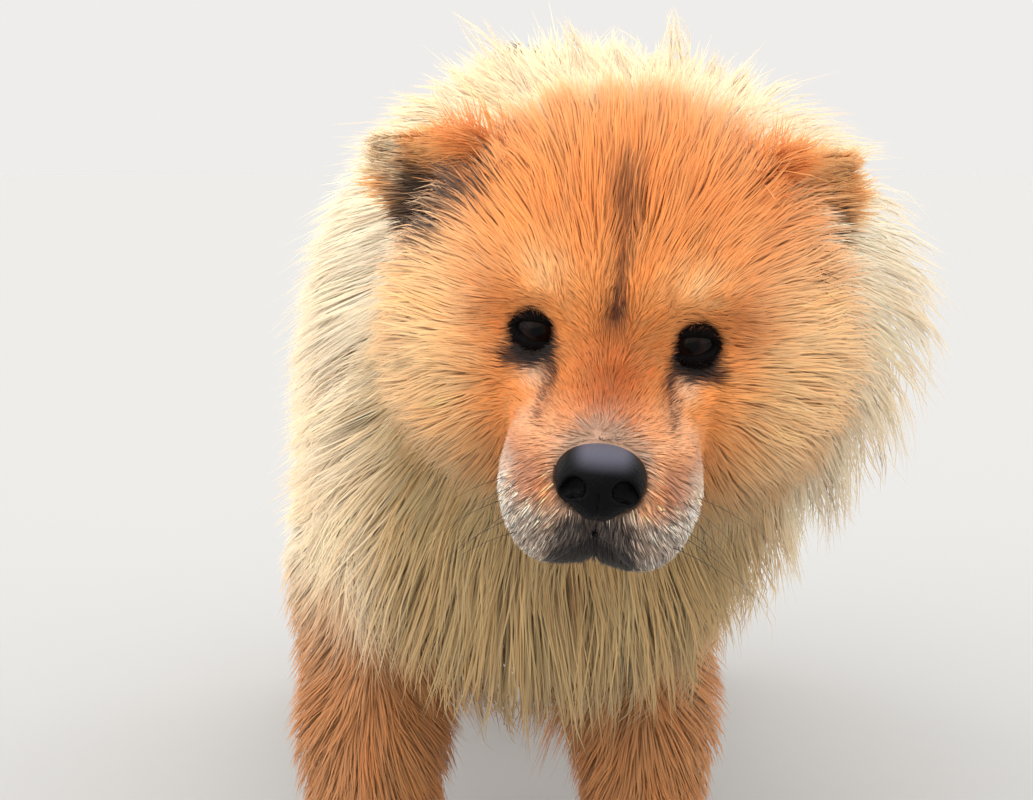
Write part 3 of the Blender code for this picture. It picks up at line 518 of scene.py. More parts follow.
def slopes(field, points, step=0.002):
    """Unit vectors out of the surface that a field describes."""
    rise = np.stack([field(points + k)[0] - field(points - k)[0] for k in np.eye(3) * step], axis=1)
    return unit(rise)


def level_surface(field, low, high, cell):
    """Vertices and triangles of the surface where the field is zero, from a grid cut into tetrahedra."""
    axes = [np.arange(low[k], high[k] + cell, cell) for k in range(3)]
    grid = np.stack(np.meshgrid(*axes, indexing="ij"), axis=-1)
    sizes = np.array(grid.shape[:3])
    points = grid.reshape(-1, 3)
    value = field(points)
    least = 0.03 * cell
    value = np.where(np.abs(value) < least, np.where(value < 0, -least, least), value)
    inside = value < 0
    strides = np.array((sizes[1] * sizes[2], sizes[2], 1))
    cells = np.stack(np.meshgrid(*[np.arange(n - 1) for n in sizes], indexing="ij"), axis=-1)
    first = cells.reshape(-1, 3) @ strides
    reach = [np.dot(corner, strides) for corner in itertools.product((0, 1), repeat=3)]
    filled = sum(inside[first + step].astype(int) for step in reach)
    first = first[(filled > 0) & (filled < 8)]
    starts, ends, spans = [], [], []
    for order in itertools.permutations(range(3)):
        corners = first[:, None] + np.cumsum([0] + [strides[k] for k in order])
        full = inside[corners].sum(axis=1)
        for count, cuts in CUTS.items():
            chosen = corners[full == count]
            rank = np.argsort(~inside[chosen], axis=1, kind="stable")
            chosen = np.take_along_axis(chosen, rank, axis=1)
            for inner, outer in cuts:
                starts.append(chosen[:, inner])
                ends.append(chosen[:, outer])
                spans.append(points[chosen[:, 3]] - points[chosen[:, 0]])
    starts, ends = np.concatenate(starts), np.concatenate(ends)
    low_end, high_end = np.minimum(starts, ends), np.maximum(starts, ends)
    keys, index = np.unique(low_end * len(points) + high_end, return_inverse=True)
    index = index.reshape(-1, 3)
    one, two = keys // len(points), keys % len(points)
    share = (value[one] / (value[one] - value[two]))[:, None]
    vertices = points[one] * (1 - share) + points[two] * share
    a, b, c = (vertices[index[:, k]] for k in range(3))
    wrong = (np.cross(b - a, c - a) * np.concatenate(spans)).sum(axis=1) < 0
    index[wrong] = index[wrong][:, ::-1]
    return vertices, index


def filled_mesh(name, vertices, faces):
    """An object from arrays. Its faces all have the same number of corners."""
    faces = np.asarray(faces, np.int32)
    count, corners = faces.shape
    mesh = bpy.data.meshes.new(name)
    mesh.vertices.add(len(vertices))
    mesh.loops.add(count * corners)
    mesh.polygons.add(count)
    mesh.vertices.foreach_set("co", np.asarray(vertices, np.float32).ravel())
    mesh.loops.foreach_set("vertex_index", faces.ravel())
    mesh.polygons.foreach_set("loop_start", np.arange(count, dtype=np.int32) * corners)
    mesh.update(calc_edges=True)
    mesh.polygons.foreach_set("use_smooth", np.ones(count, bool))
    obj = bpy.data.objects.new(name, mesh)
    bpy.context.scene.collection.objects.link(obj)
    return obj


def reshaped(obj, change):
    """Changes an object's mesh by a function of its bmesh."""
    shape = bmesh.new()
    shape.from_mesh(obj.data)
    change(shape)
    shape.to_mesh(obj.data)
    shape.free()
    return obj


def outward(obj):
    return reshaped(obj, lambda shape: bmesh.ops.recalc_face_normals(shape, faces=shape.faces[:]))


def ring_faces(rings, segments):
    """Quads between rings of points that follow each other, each ring closed."""
    faces = []
    for start in range(0, (rings - 1) * segments, segments):
        for k in range(segments):
            a, b = start + k, start + (k + 1) % segments
            faces.append((a, b, b + segments, a + segments))
    return faces


def points_of(obj):
    co = np.empty(len(obj.data.vertices) * 3, np.float32)
    obj.data.vertices.foreach_get("co", co)
    return co.reshape(-1, 3).astype(float)


def set_points(obj, points):
    obj.data.vertices.foreach_set("co", np.asarray(points, np.float32).ravel())
    obj.data.update()


def applied(obj):
    bpy.context.view_layer.update()
    graph = bpy.context.evaluated_depsgraph_get()
    made = bpy.data.meshes.new_from_object(obj.evaluated_get(graph))
    obj.modifiers.clear()
    old, obj.data = obj.data, made
    bpy.data.meshes.remove(old)
    return obj


def add_colours(obj, colours):
    layer = obj.data.color_attributes.new("coat", "FLOAT_COLOR", "POINT")
    rgba = np.ones((len(colours), 4), np.float32)
    rgba[:, :3] = colours
    layer.data.foreach_set("color", rgba.ravel())


# Markings


def paint(colour, target, weight):
    return colour + (linear(target) - colour) * np.clip(weight, 0, 1)[:, None]


def head_weight(points):
    """1 where the head is what shows, 0 where the neck or trunk is."""
    head, head_coat = head_field(points)
    trunk, trunk_coat = trunk_field(points)
    return smooth((trunk - 0.5 * trunk_coat) - (head - 0.5 * head_coat), -0.014, 0.014)


def muzzle_weight(own):
    """1 on the muzzle, 0 on the rest of the face."""
    return smooth(own[:, 1], -0.018, -0.036) * smooth(own[:, 2], -0.026, -0.044)


def nose_rings(own):
    """How far out from the nose's middle these places are, as seen from the front: 1 at its edge."""
    return np.hypot(own[:, 0] / NOSE_RADII[0], (own[:, 2] - NOSE_CENTRE[2]) / NOSE_RADII[2])


def streak(own, start, end, width):
    """A soft line on the face between two (x, z) points, on both sides."""
    flat = np.stack([np.abs(own[:, 0]), 0 * own[:, 0], own[:, 2]], axis=1)
    distance, _ = limb(flat, (start[0], 0, start[1]), (end[0], 0, end[1]), 0, 0)
    return np.exp(-((distance / width) ** 2)) * smooth(own[:, 1], 0.060, 0.030)


def chest(points):
    """1 on the chest's fringe under the head, 0 elsewhere."""
    return smooth(points[:, 1], -0.10, -0.17) * smooth(points[:, 2], 0.42, 0.34)


def leg_marks(points):
    """(tint, weight) of each leg's colour, which fades behind it and towards its top."""
    across, back, up = points.T
    marks = []
    for (field, paws), (tint, top) in zip(LEGS, LEG_TINTS):
        for side, (x, y) in paws.items():
            near = (np.abs(across - x) < 0.12) & (np.abs(back - y) < 0.20) & (up < 0.32)
            weight = np.zeros(len(points))
            if near.any():
                weight[near] = smooth(field(points[near], side)[0], 0.075, 0.050)
                weight[near] *= 1 - 0.75 * smooth(back[near], y + 0.075, y + 0.110)
            marks.append((tint, 0.92 * weight * smooth(up, top - LEFT_LOWER * (side == "left"), top - 0.09)))
    return marks


def markings(points):
    """The coat's own colour at these places, for skin and tufts alike. Each mark goes over the last."""
    own = to_head(points)
    (across, back, up), (x, y, z) = points.T, own.T
    side = np.abs(x)
    head = head_weight(points)
    face = head * smooth(y, 0.060, 0.035)
    muzzle = muzzle_weight(own) * head

    middle = smooth(np.abs(across - 0.03), 0.135, 0.095)
    spot = np.hypot((across - 0.032) / 0.0085, (up - 0.232) / 0.0130)
    parting = np.hypot((across - 0.003) / 0.0035, (up - 0.257) / 0.0150)
    shade = 0.75 * smooth(spot, 1.3, 0.7) + 0.5 * smooth(parting, 1.4, 0.6)
    cheek = smooth(side, 0.048, 0.088) * smooth(z, 0.065, 0.0)
    crown = smooth(y, 0.055, 0.115) * smooth(z, 0.020, 0.060)
    beside = (x + 0.0845) - (z - 0.0455) / 1.22
    by_ear = smooth(beside, 0.002, -0.008) * smooth(z, 0.018, 0.030) * smooth(z, 0.076, 0.060)
    crease = hill(x, 0.0, 0.0042) * smooth(z, 0.004, 0.018) * smooth(z, 0.092, 0.065)
    halo = nose_rings(own)
    notch = np.hypot(x / 0.0190, (z + 0.0805 + 0.28 * side) / 0.0088)
    chin = smooth(side, 0.023, 0.015) * smooth(z, -0.077, -0.082) * smooth(y, -0.015, -0.030)
    eye = np.hypot((side - 0.0390) / 0.94, (z + 0.0030) / 1.12)
    lower = np.hypot((side - 0.0490) / 1.3, z + 0.0135)

    marks = [
        (APRICOT, 0.35 * smooth(up, 0.36, 0.46) * smooth(back, -0.02, 0.10)),
        (PALE_CREAM, 0.9 * smooth(back, 0.02, -0.10) * smooth(up, 0.33, 0.42)),
        (APRICOT, 0.45 * smooth(up, 0.46, 0.52) * smooth(back, 0.08, -0.02)),
        # The chest's fringe under the head: its own tan, painted darker as shade cast by the head.
        (CHEST_TAN_AND_SHADE, 0.85 * middle * chest(points)),
        # Painted shade: a dark oval patch on the chest under the chin and a parting in the fur above it.
        (CREASE_SHADE, shade * smooth(back, -0.20, -0.22)),
        *leg_marks(points),
        (ORANGE, head),
        (TAN, 0.9 * head * cheek),
        # Painted shade over tan fur on the lower cheeks and under the jaw.
        (SHADE_TAN, 0.8 * head * smooth(z, -0.045, -0.095) * smooth(side, 0.040, 0.056)),
        (CHEST_TAN_AND_SHADE, 0.9 * head * smooth(z, -0.088, -0.110)),
        (DEEP_ORANGE, 0.55 * head * hill(z, 0.065, 0.035) * hill(x, 0, 0.070)),
        (APRICOT, 0.60 * head * crown),
        (CREAM, 0.80 * head * smooth(y, 0.090, 0.145)),
        # The ear's dark lower edge carried onto the head beside the right ear: dark brown hair with painted
        # shade.
        (EAR_BROWN_AND_SHADE, 1.3 * head * by_ear * smooth(x, -0.060, -0.070) * smooth(y, 0.10, 0.075)),
        (APRICOT, 0.55 * head * hill(side, 0.036, 0.013) * hill(z, 0.030, 0.012) * smooth(y, 0.06, 0.04)),
        (RUST, head * hill(x, 0, 0.024) * hill(z, -0.014, 0.026)),
        (RUST, 0.45 * head * hill(side, 0.062, 0.016) * hill(z + 0.35 * (side - 0.06), 0.010, 0.016)),
        # Painted shade on the left cheek beside the muzzle, on that side only.
        (RUST, 0.28 * face * hill(x, -0.045, 0.020) * hill(z, -0.026, 0.022)),
        # Painted shade in the forehead's crease, at the stop between the eyes and at the crease's top.
        (CREASE_SHADE, face * (0.75 * crease + 0.5 * hill(x, 0, 0.009) * hill(z, 0.012, 0.011))),
        (CREASE_SHADE, 0.55 * face * hill(x, 0, 0.008) * hill(z, 0.072, 0.012)),
        (MUZZLE_PALE, 0.45 * face * hill(z, -0.030, 0.009) * smooth(y, -0.020, -0.045)),
        (MUZZLE_BROWN, 0.80 * muzzle * smooth(side, 0.018, 0.030) * smooth(z, -0.026, -0.040)),
        (MUZZLE_GREY, 0.60 * face * smooth(halo, 1.45, 1.10) * smooth(y, -0.035, -0.055)),
        (MUZZLE_GREY, 0.92 * muzzle * smooth(z, -0.048, -0.064)),
        (MUZZLE_RIM, 0.60 * muzzle * smooth(side, 0.034, 0.043) * smooth(z, -0.034, -0.050)),
        (LIP_GREY, 0.92 * muzzle * smooth(side, 0.026, 0.014) * smooth(z, -0.057, -0.065)),
        # The mouth's opening and the chin under the upper lips, painted black: the lips' own black with
        # painted shade under the lips.
        (EYE_BLACK, head * smooth(y, -0.02, -0.04) * smooth(notch, 1.25, 0.80)),
        (EYE_BLACK, 0.92 * head * chin),
        (PINK, 0.85 * face * hill(side, 0.036, 0.0060) * hill(z, -0.0175, 0.0055)),
        # Dark fur round each eye: its own dark hair and black rims, with painted shade of the deep-set
        # socket.
        (EYE_BROWN, 0.80 * face * smooth(eye, 0.0150, 0.0120)),
        (EYE_BROWN, 0.85 * face * smooth(lower, 0.0066, 0.0040)),
        (EYE_BLACK, 0.97 * face * smooth(eye, 0.0128, 0.0104)),
        (EYE_BLACK, 0.60 * face * smooth(lower, 0.0044, 0.0015)),
        (EYE_BLACK, 1.1 * face * streak(own, (0.0298, -0.004), (0.0270, -0.0170), 0.0028)),
        (EYE_BROWN, 1.1 * face * streak(own, (0.0270, -0.015), (0.0312, -0.0260), 0.0015)),
    ]
    colour = np.tile(linear(CREAM), (len(points), 1))
    for target, weight in marks:
        colour = paint(colour, target, weight)
    return colour


def ear_axes(side):
    """The ways along, out of and down across an ear, and its length, as if it were on the left."""
    along = EAR_TIPS[side] - EAR_ROOT
    length = np.linalg.norm(along)
    along = along / length
    face = unit(EAR_FACE - (EAR_FACE @ along) * along)
    return along, face, np.cross(along, face), length


def ear_place(side, points):
    """(share along the ear, share across it, height over its middle line) in the head's frame."""
    own = to_head(points) * (SIDES[side], 1, 1)
    along, face, across, length = ear_axes(side)
    q = own - EAR_ROOT
    u = q @ along / length
    return u, q @ across / (EAR_WIDTH / 2), q[:, 2] - u * length * along[2]


def ear_markings(side, points):
    u, v, height = ear_place(side, points)
    colour = np.tile(linear(EAR_ORANGE), (len(points), 1))
    colour = paint(colour, ORANGE, 0.8 * smooth(u, 0.75, 0.35) * smooth(height, -0.020, 0.000))
    low = (0.001, -0.011) if side == "right" else (-0.013, -0.021)
    # The ear's lower part, towards its canal: dark brown hair with painted shade.
    colour = paint(colour, EAR_BROWN_AND_SHADE, 0.97 * smooth(height, *low) * smooth(u, 0.94, 0.76))
    if side == "left":
        return paint(colour, APRICOT, 0.7 * smooth(u, 0.75, 0.95))
    return paint(colour, CREAM, 0.95 * smooth(u, 0.78, 0.92) * smooth(height, -0.026, -0.012))


# Skin


def ear_mesh(side, rows=25, columns=17):
    """An ear as a closed cup: a leaf, hollow towards the front."""
    along, face, across, length = ear_axes(side)
    front, back = [], []
    for i in range(rows):
        u = i / (rows - 1)
        cup = EAR_CUP[0] * (1 - u) + EAR_CUP[1]
        for j in range(columns):
            v = 2 * j / (columns - 1) - 1
            middle = EAR_ROOT + along * u * length + across * v * ear_width(u, v) + face * cup * v * v
            middle = middle - face * EAR_BELLY * math.sin(math.pi * u)
            rim = math.sqrt(max(0.0, 1 - v * v)) * (1 - 0.6 * u**3)
            half = face * EAR_THICKNESS / 2 * (0.15 + 0.60 * rim)
            front.append(middle + half)
            back.append(middle - half)
    points = np.array(front + back) * (SIDES[side], 1, 1)
    place = np.arange(rows * columns).reshape(rows, columns)
    a, b, c, d = (part.ravel() for part in (place[:-1, :-1], place[:-1, 1:], place[1:, 1:], place[1:, :-1]))
    shift = rows * columns
    quads = np.stack([np.stack([a, b, c, d], axis=1), np.stack([a, d, c, b], axis=1) + shift], axis=1)
    faces = quads.reshape(-1, 4).tolist()
    border = [*place[0], *place[1:, -1], *place[-1, -2::-1], *place[-2:0:-1, 0]]
    for a, b in zip(border, border[1:] + border[:1]):
        faces.append((b, a, a + shift, b + shift))
    return outward(filled_mesh(f"ear_skin_{side}", from_head(points), faces))


def lid_mesh(side, segments=56):
    """The lids of an eye: from the wet rim on the eyeball, over a rounded edge, back into the skin."""
    rings = []
    for radius, spread in LID_PROFILE:
        for k in range(segments):
            angle = 2 * math.pi * k / segments
            upper = math.sin(angle) > 0
            tall = LID_OPENING[1] * (1.0 if upper else 0.86)
            opening = 1 / math.hypot(math.cos(angle) / LID_OPENING[0], math.sin(angle) / tall)
            opening *= 1 + 0.16 * abs(math.cos(angle)) ** 6
            base = math.asin(min(0.93, opening / EYE_RADIUS))
            tilt = base + math.radians(spread) * (math.radians(80) - base) / math.radians(70)
            heavy = 1.0 + (0.35 if upper else -0.15) * math.sin(angle) ** 2
            turned = angle + SIDES[side] * LID_SLANT
            flat = math.sin(tilt)
            out = np.array((flat * math.cos(turned), -math.cos(tilt), flat * math.sin(turned)))
            rings.append(eye_centre(side) + (EYE_RADIUS + radius * heavy) * out)
    lid = filled_mesh(f"lid_{side}", from_head(rings), ring_faces(len(LID_PROFILE), segments))
    thick = lid.modifiers.new("closed", "SOLIDIFY")
    thick.thickness = 0.0006
    thick.offset = 0
    return outward(applied(lid))


def finer_face(shape):
    """Halves the edges of a bmesh that lie over the face."""
    own = to_head(np.array([v.co for v in shape.verts]))
    inside = ((own > FINE_FACE["low"]) & (own < FINE_FACE["high"])).all(axis=1)
    edges = [e for e in shape.edges if inside[e.verts[0].index] and inside[e.verts[1].index]]
    bmesh.ops.subdivide_edges(shape, edges=edges, cuts=1, use_grid_fill=True)
    bmesh.ops.triangulate(shape, faces=[f for f in shape.faces if len(f.verts) > 4])


def drawn_to_skin(points, step, times):
    """Moves points onto the skin's own level."""
    for _ in range(times):
        points = points - slopes(skin_level, points, step) * skin_level(points)[0][:, None]
    return points


def make_skin():
    """The closed skin of the animal but its ears and lids, finer over the face."""
    low, high = np.array((-0.20, -0.50, -0.02)), np.array((0.24, 0.44, 0.60))
    skin = filled_mesh("skin", *level_surface(lambda p: skin_level(p)[0], low, high, SKIN_CELL))
    remesh = skin.modifiers.new("even", "REMESH")
    remesh.mode = "VOXEL"
    remesh.voxel_size = SKIN_VOXEL
    remesh.use_smooth_shade = True
    reshaped(applied(skin), finer_face)
    points = drawn_to_skin(points_of(skin), 0.0012, 3)
    points[:, 2] = np.maximum(points[:, 2], 0.0004)
    set_points(skin, points)
    return skin


# Coat


def lie(points):
    """The way that the coat lies, before it is laid down on the surface."""
    own = to_head(points)
    away = unit(own - (0, -0.060, -0.030)) + (0, 0.55, 0)
    away[:, 2] -= 5.0 * np.abs(own[:, 0])
    for side, sign in SIDES.items():
        mirror = np.array((sign, 1, 1))
        off = own - eye_centre(side)
        far = np.linalg.norm(off, axis=1)
        away += unit(off * (1, 0.2, 1)) * (1.6 * np.exp(-((far / 0.020) ** 2)))[:, None]
        far = np.linalg.norm(own - (EAR_ROOT + (-0.006, -0.012, 0.004)) * mirror, axis=1)
        away += ear_axes(side)[0] * mirror * (EAR_PULL[side] * np.exp(-((far / 0.030) ** 2)))[:, None]
    head = head_weight(points)[:, None]
    leg = smooth(points[:, 2], 0.30, 0.20)
    trunk_way = unit(np.stack([0 * leg, 0.75 - 0.30 * leg, -0.62 - 0.30 * leg], axis=1))
    way = trunk_way * (1 - head) + unit(away @ HEAD_AXES.T) * head
    on_tail = tail_field(points)[0] < np.minimum(0.030, trunk_field(points)[0])
    best, along = np.full(len(points), np.inf), np.zeros((len(points), 3))
    for start, end in zip(TAIL_POINTS, TAIL_POINTS[1:]):
        distance = limb(points, start, end, 0, 0)[0]
        near = distance < best
        best = np.where(near, distance, best)
        along[near] = unit(end - start)
    spread = np.stack([np.sign(points[:, 0] - 0.02) * 0.7, 0 * best, -0.3 + 0 * best], axis=1)
    way[on_tail] = (along + spread)[on_tail]
    return unit(way)


def coarseness(points):
    """How much wider than on the face the tufts are."""
    _, back, up = points.T
    behind = smooth(to_head(points)[:, 1], 0.14, 0.34)
    low = smooth(up, 0.20, 0.10) * smooth(back, -0.04, 0.06)
    return 1 + 0.95 * behind + 0.35 * low + 0.9 * smooth(up, 0.07, 0.04)


def layers(points, coat):
    """How many tufts lie over each other: fewer in short fur, behind and low down."""
    up, behind = points[:, 2], to_head(points)[:, 1]
    many = LAYERS * (1 - 0.30 * smooth(coat, 0.014, 0.006)) * (1 - 0.40 * smooth(behind, 0.14, 0.34))
    many = many * (1 - 0.35 * smooth(up, 0.26, 0.16))
    return np.maximum(many, LEAST_LAYERS) * (1 - 0.35 * smooth(up, 0.07, 0.04))


def tuft_size(points, coat):
    """(length, width) of the tufts rooted at these places."""
    _, back, up = points.T
    length = TUFT_LENGTH[0] + TUFT_LENGTH[1] * coat
    length = length * (1 + 0.25 * chest(points) * smooth(up, 0.25, 0.19))
    length = np.minimum(length, 0.0032 + 0.75 * np.maximum(eye_clearance(points), 0))
    width = (TUFT_WIDTH[0] + TUFT_WIDTH[1] * coat) * coarseness(points)
    width *= 1 - 0.24 * smooth(back, -0.04, -0.12) * smooth(coat, 0.020, 0.034)
    return length * (1 + 0.5 * smooth(up, 0.07, 0.03)), width


def spread_over(obj, weight_at, rng, count=None):
    """Points spread over a mesh: weight_at of them for each square metre, or count of them evenly."""
    mesh = obj.data
    mesh.calc_loop_triangles()
    index = np.empty(len(mesh.loop_triangles) * 3, np.int32)
    mesh.loop_triangles.foreach_get("vertices", index)
    corners = points_of(obj)[index.reshape(-1, 3)]
    a, b, c = corners.transpose(1, 0, 2)
    areas = np.linalg.norm(np.cross(b - a, c - a), axis=1) / 2
    weights = areas * (weight_at(corners.mean(axis=1)) if weight_at else 1)
    count = count or int(round(weights.sum()))
    chosen = rng.choice(len(areas), count, p=weights / weights.sum())
    shares = rng.dirichlet((1, 1, 1), count)
    return (corners[chosen] * shares[:, :, None]).sum(axis=1)


def eye_clearance(points):
    """Distance in the face's plane from the nearest eye's opening."""
    own = to_head(points)
    best = np.full(len(points), 1.0)
    for side in SIDES:
        off = own - eye_centre(side)
        opening = np.hypot(off[:, 0] / (LID_OPENING[0] + 0.001), off[:, 2] / (LID_OPENING[1] + 0.001))
        far = (opening - 1) * 0.006
        best = np.minimum(best, np.where(off[:, 1] < 0.012, far, 1.0))
    return best


def bare(points):
    """Whether places carry no fur: inside the nose and the eyes' openings, and under the paws."""
    own = to_head(points)
    nose = np.linalg.norm((own - NOSE_CENTRE) / (NOSE_RADII * 1.02), axis=1) < 1
    return nose | (eye_clearance(points) < 0.0004) | (points[:, 2] < 0.006)


def guide_lines(skin, rng):
    """Guide hairs: their roots, the points along each, the normals there and the coat's depth."""
    points = spread_over(skin, None, rng, GUIDE_TRIES)
    points = points[~bare(points)]
    _, coat = skin_level(points)
    kept, least = [], 0.0
    for most, spacing in GUIDE_SPACINGS:
        chosen = np.flatnonzero((coat >= least) & (coat < most))
        cells = np.floor(points[chosen] / spacing).astype(int)
        _, first = np.unique(cells, axis=0, return_index=True)
        kept.append(chosen[np.sort(first)])
        least = most
    kept = np.concatenate(kept)
    roots, coat = points[kept], coat[kept]
    lengths = tuft_size(roots, coat)[0] * rng.uniform(0.92, 1.08, len(roots))
    turn = rng.uniform(-0.22, 0.22, len(roots))
    reach = rng.uniform(0.88, 1.08, len(roots))
    reach *= 1 + 0.08 * smooth(roots[:, 0], 0.10, 0.16) * smooth(roots[:, 1], 0.05, -0.08)
    place, normals = roots.copy(), slopes(skin_level, roots)
    lines, ups = [place], [normals]
    for before, share in zip(GUIDE_SHARES, GUIDE_SHARES[1:]):
        way = lie(place)
        way = unit(way + np.cross(way, normals) * (turn * (0.4 + share))[:, None])
        rise = (way * normals).sum(axis=1)
        way = unit(way - normals * np.where(rise > 0, 0.45 * rise, rise)[:, None])
        place = place + way * (lengths * (share - before))[:, None]
        distance, depth = skin_level(place)
        normals = slopes(skin_level, place)
        depth = 0.5 * depth + 0.5 * coat
        gain = depth * share**0.8 * reach - distance
        place = place + normals * np.where(gain < 0, 0.5 * gain, gain)[:, None]
        place[:, 2] = np.maximum(place[:, 2], 0.0015)
        lines.append(place)
        ups.append(normals)
    return roots, np.stack(lines, axis=1), np.stack(ups, axis=1), coat


def sampled(values, shares):
    """Values along guides, at shares of their length."""
    step = np.array(shares) * (len(GUIDE_SHARES) - 1)
    low = np.minimum(step.astype(int), len(GUIDE_SHARES) - 2)
    part = (step - low)[None, :, None]
    return values[:, low] * (1 - part) + values[:, low + 1] * part


def follow(roots, guides, rng, shares, stray):
    """Tufts' lines, normals, main guides and coat depths, from the guides nearest to each root.

    All but strays are drawn towards their main guide, so that they stand in clumps.
    """
    guide_roots, lines, ups, coat = guides
    tree = kdtree.KDTree(len(guide_roots))
    for k, root in enumerate(guide_roots):
        tree.insert(root, k)
    tree.balance()
    found = [tree.find_n(root, 3) for root in roots]
    index = np.array([[item[1] for item in row] for row in found])
    far = np.array([[item[2] for item in row] for row in found])
    normals = slopes(skin_level, roots)
    same = np.clip((ups[index, 0] * normals[:, None]).sum(axis=2), 0.02, 1) ** 4
    weights = same / (far + 0.001) ** 2
    weights /= weights.sum(axis=1, keepdims=True)
    along = sampled(lines - lines[:, :1], shares)
    turned = sampled(ups, shares)
    path = (along[index] * weights[:, :, None, None]).sum(axis=1)
    out = unit((turned[index] * weights[:, :, None, None]).sum(axis=1))
    main = index[np.arange(len(roots)), weights.argmax(axis=1)]
    scale = rng.uniform(0.72, 1.12, len(roots)) * np.where(stray, 1.12, 1.0)
    path = roots[:, None] + path * scale[:, None, None]
    centre = guide_roots[main][:, None] + along[main]
    tight = (0.08 + 0.21 * smooth(coat[main], 0.006, 0.040)) * np.where(stray, 0.2, 1.0)
    tight = tight * (1 - 0.55 * chest(roots))
    pull = (np.array(shares) ** 1.3)[None, :, None] * tight[:, None, None]
    return path + (centre - path) * pull, out, main, coat[main]


def lay_tufts(lines, ups, widths, body):
    """Vertices, triangles and normals of closed tufts that taper from a triangle to a point."""
    count, stations = lines.shape[:2]
    along = unit(np.gradient(lines, axis=1))
    across = unit(np.cross(along, ups))
    out = unit(np.cross(across, along))
    vertices = np.empty((count, 3 * (stations - 1) + 1, 3))
    normals = np.empty_like(vertices)
    for k in range(stations - 1):
        half = across[:, k] * (widths * body[k] / 2)[:, None]
        rise = out[:, k] * (widths * body[k] * 0.45)[:, None]
        vertices[:, 3 * k] = lines[:, k] - half
        vertices[:, 3 * k + 1] = lines[:, k] + half
        vertices[:, 3 * k + 2] = lines[:, k] + rise
        normals[:, 3 * k] = unit(ups[:, k] - across[:, k] * 0.45)
        normals[:, 3 * k + 1] = unit(ups[:, k] + across[:, k] * 0.45)
        normals[:, 3 * k + 2] = ups[:, k]
    vertices[:, -1] = lines[:, -1]
    normals[:, -1] = ups[:, -1]
    one = [(0, 1, 2)]
    for k in range(stations - 2):
        for i in range(3):
            a, b = 3 * k + i, 3 * k + (i + 1) % 3
            one += [(b, a, a + 3), (b, a + 3, b + 3)]
    tip = 3 * (stations - 1)
    one += [(tip - 2, tip - 3, tip), (tip - 1, tip - 2, tip), (tip - 3, tip - 1, tip)]
    starts = np.arange(count)[:, None, None] * vertices.shape[1]
    return vertices, np.array(one)[None] + starts, normals


def unwrap(points):
    """Each root's place on an unwrap: a disc for the head, and bands round trunk, tail and legs."""
    across, back, up = points.T
    own = to_head(points) - (0, 0.045, -0.020)
    tilt = np.arccos(np.clip(-unit(own)[:, 1], -1, 1))
    turn = np.arctan2(own[:, 2], own[:, 0])
    disc = np.stack([0.30 + 0.115 * tilt * np.cos(turn), 0.30 + 0.115 * tilt * np.sin(turn)], axis=1)
    around = np.arctan2(across - 0.012, up - 0.34) / (2 * math.pi) + 0.5
    band = np.stack([0.62 + 0.36 * around, 0.02 + 0.96 * np.clip((back + 0.34) / 0.80, 0, 1)], axis=1)
    uv = np.where((head_weight(points) > 0.5)[:, None], disc, band)
    legs = [(field, *paw) for field, paws in LEGS for paw in paws.items()]
    for k, (field, side, (x, y)) in enumerate(legs):
        on_leg = (np.abs(across - x) < 0.11) & (up < 0.25)
        on_leg[on_leg] = field(points[on_leg], side)[0] < 0.06
        around = np.arctan2(across - x, back - y - 0.02) / (2 * math.pi) + 0.5
        leg = np.stack([0.02 + 0.105 * k + 0.095 * around, 0.62 + 0.36 * up / 0.25], axis=1)
        uv[on_leg] = leg[on_leg]
    on_tail = tail_field(points)[0] < np.minimum(TAIL_REACH, trunk_field(points)[0])
    spot = np.stack([0.46 + 0.13 * (across + 0.08) / 0.2, 0.62 + 0.17 * (back - 0.1) / 0.3], axis=1)
    uv[on_tail] = spot[on_tail]
    return uv


def coat_piece(name, shape, colours, uv, finish, slot):
    """One mesh of tufts, in pieces of less than MOST_TRIANGLES triangles."""
    vertices, faces, normals = shape
    parts = math.ceil(len(vertices) * faces.shape[1] / MOST_TRIANGLES)
    size = vertices.shape[1]
    stations = (np.arange(size) // 3) / ((size - 1) / 3) - 0.5
    offsets = np.stack([stations, (np.arange(size) % 3) / 2 - 0.5], axis=1) * PATCH
    strand = np.stack([np.tile((0.0, 1.0, 0.5), math.ceil(size / 3))[:size], stations + 0.5], axis=1)
    strand[-1, 0] = 0.5
    for k, group in enumerate(np.array_split(np.arange(len(vertices)), parts)):
        local = (faces[group] - faces[group[0], 0, 0] // size * size).reshape(-1, 3)
        own_name = name if parts == 1 else f"{name}_{k + 1}"
        obj = filled_mesh(own_name, vertices[group].reshape(-1, 3) + SHIFT, local)
        add_colours(obj, colours[group].reshape(-1, 3))
        moved = np.random.default_rng(SEED + k).uniform(0, 40, (len(group), 1, 2))
        for layer, places in (("OFBake", uv[group][:, None] + offsets), ("strand", strand + moved)):
            flat = places.reshape(-1, 2)[local.reshape(-1)].astype(np.float32).ravel()
            obj.data.uv_layers.new(name=layer).data.foreach_set("uv", flat)
        if normals is not None:
            obj.data.normals_split_custom_set_from_vertices(normals[group].reshape(-1, 3).astype(np.float32))
        obj.data.materials.append(finish)
        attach(obj, "root")


def make_fur(name, slot, tufts, painted, rng, uv, finish, normals=True, spread=0):
    """A piece of coat from its tufts' lines, normals, widths and clumps, and a function for their colours."""
    lines, ups, widths, clump = tufts
    vertices, faces, smooth_normals = lay_tufts(lines, ups, widths, BODIES[lines.shape[1]])
    colours = tuft_colours(lines, clump, rng, painted)
    if spread:
        colours = colours * np.exp(spread * rng.normal(0, 1, (len(lines), 1, 1)))
    coat_piece(name, (vertices, faces, smooth_normals if normals else None), colours, uv, finish, slot)


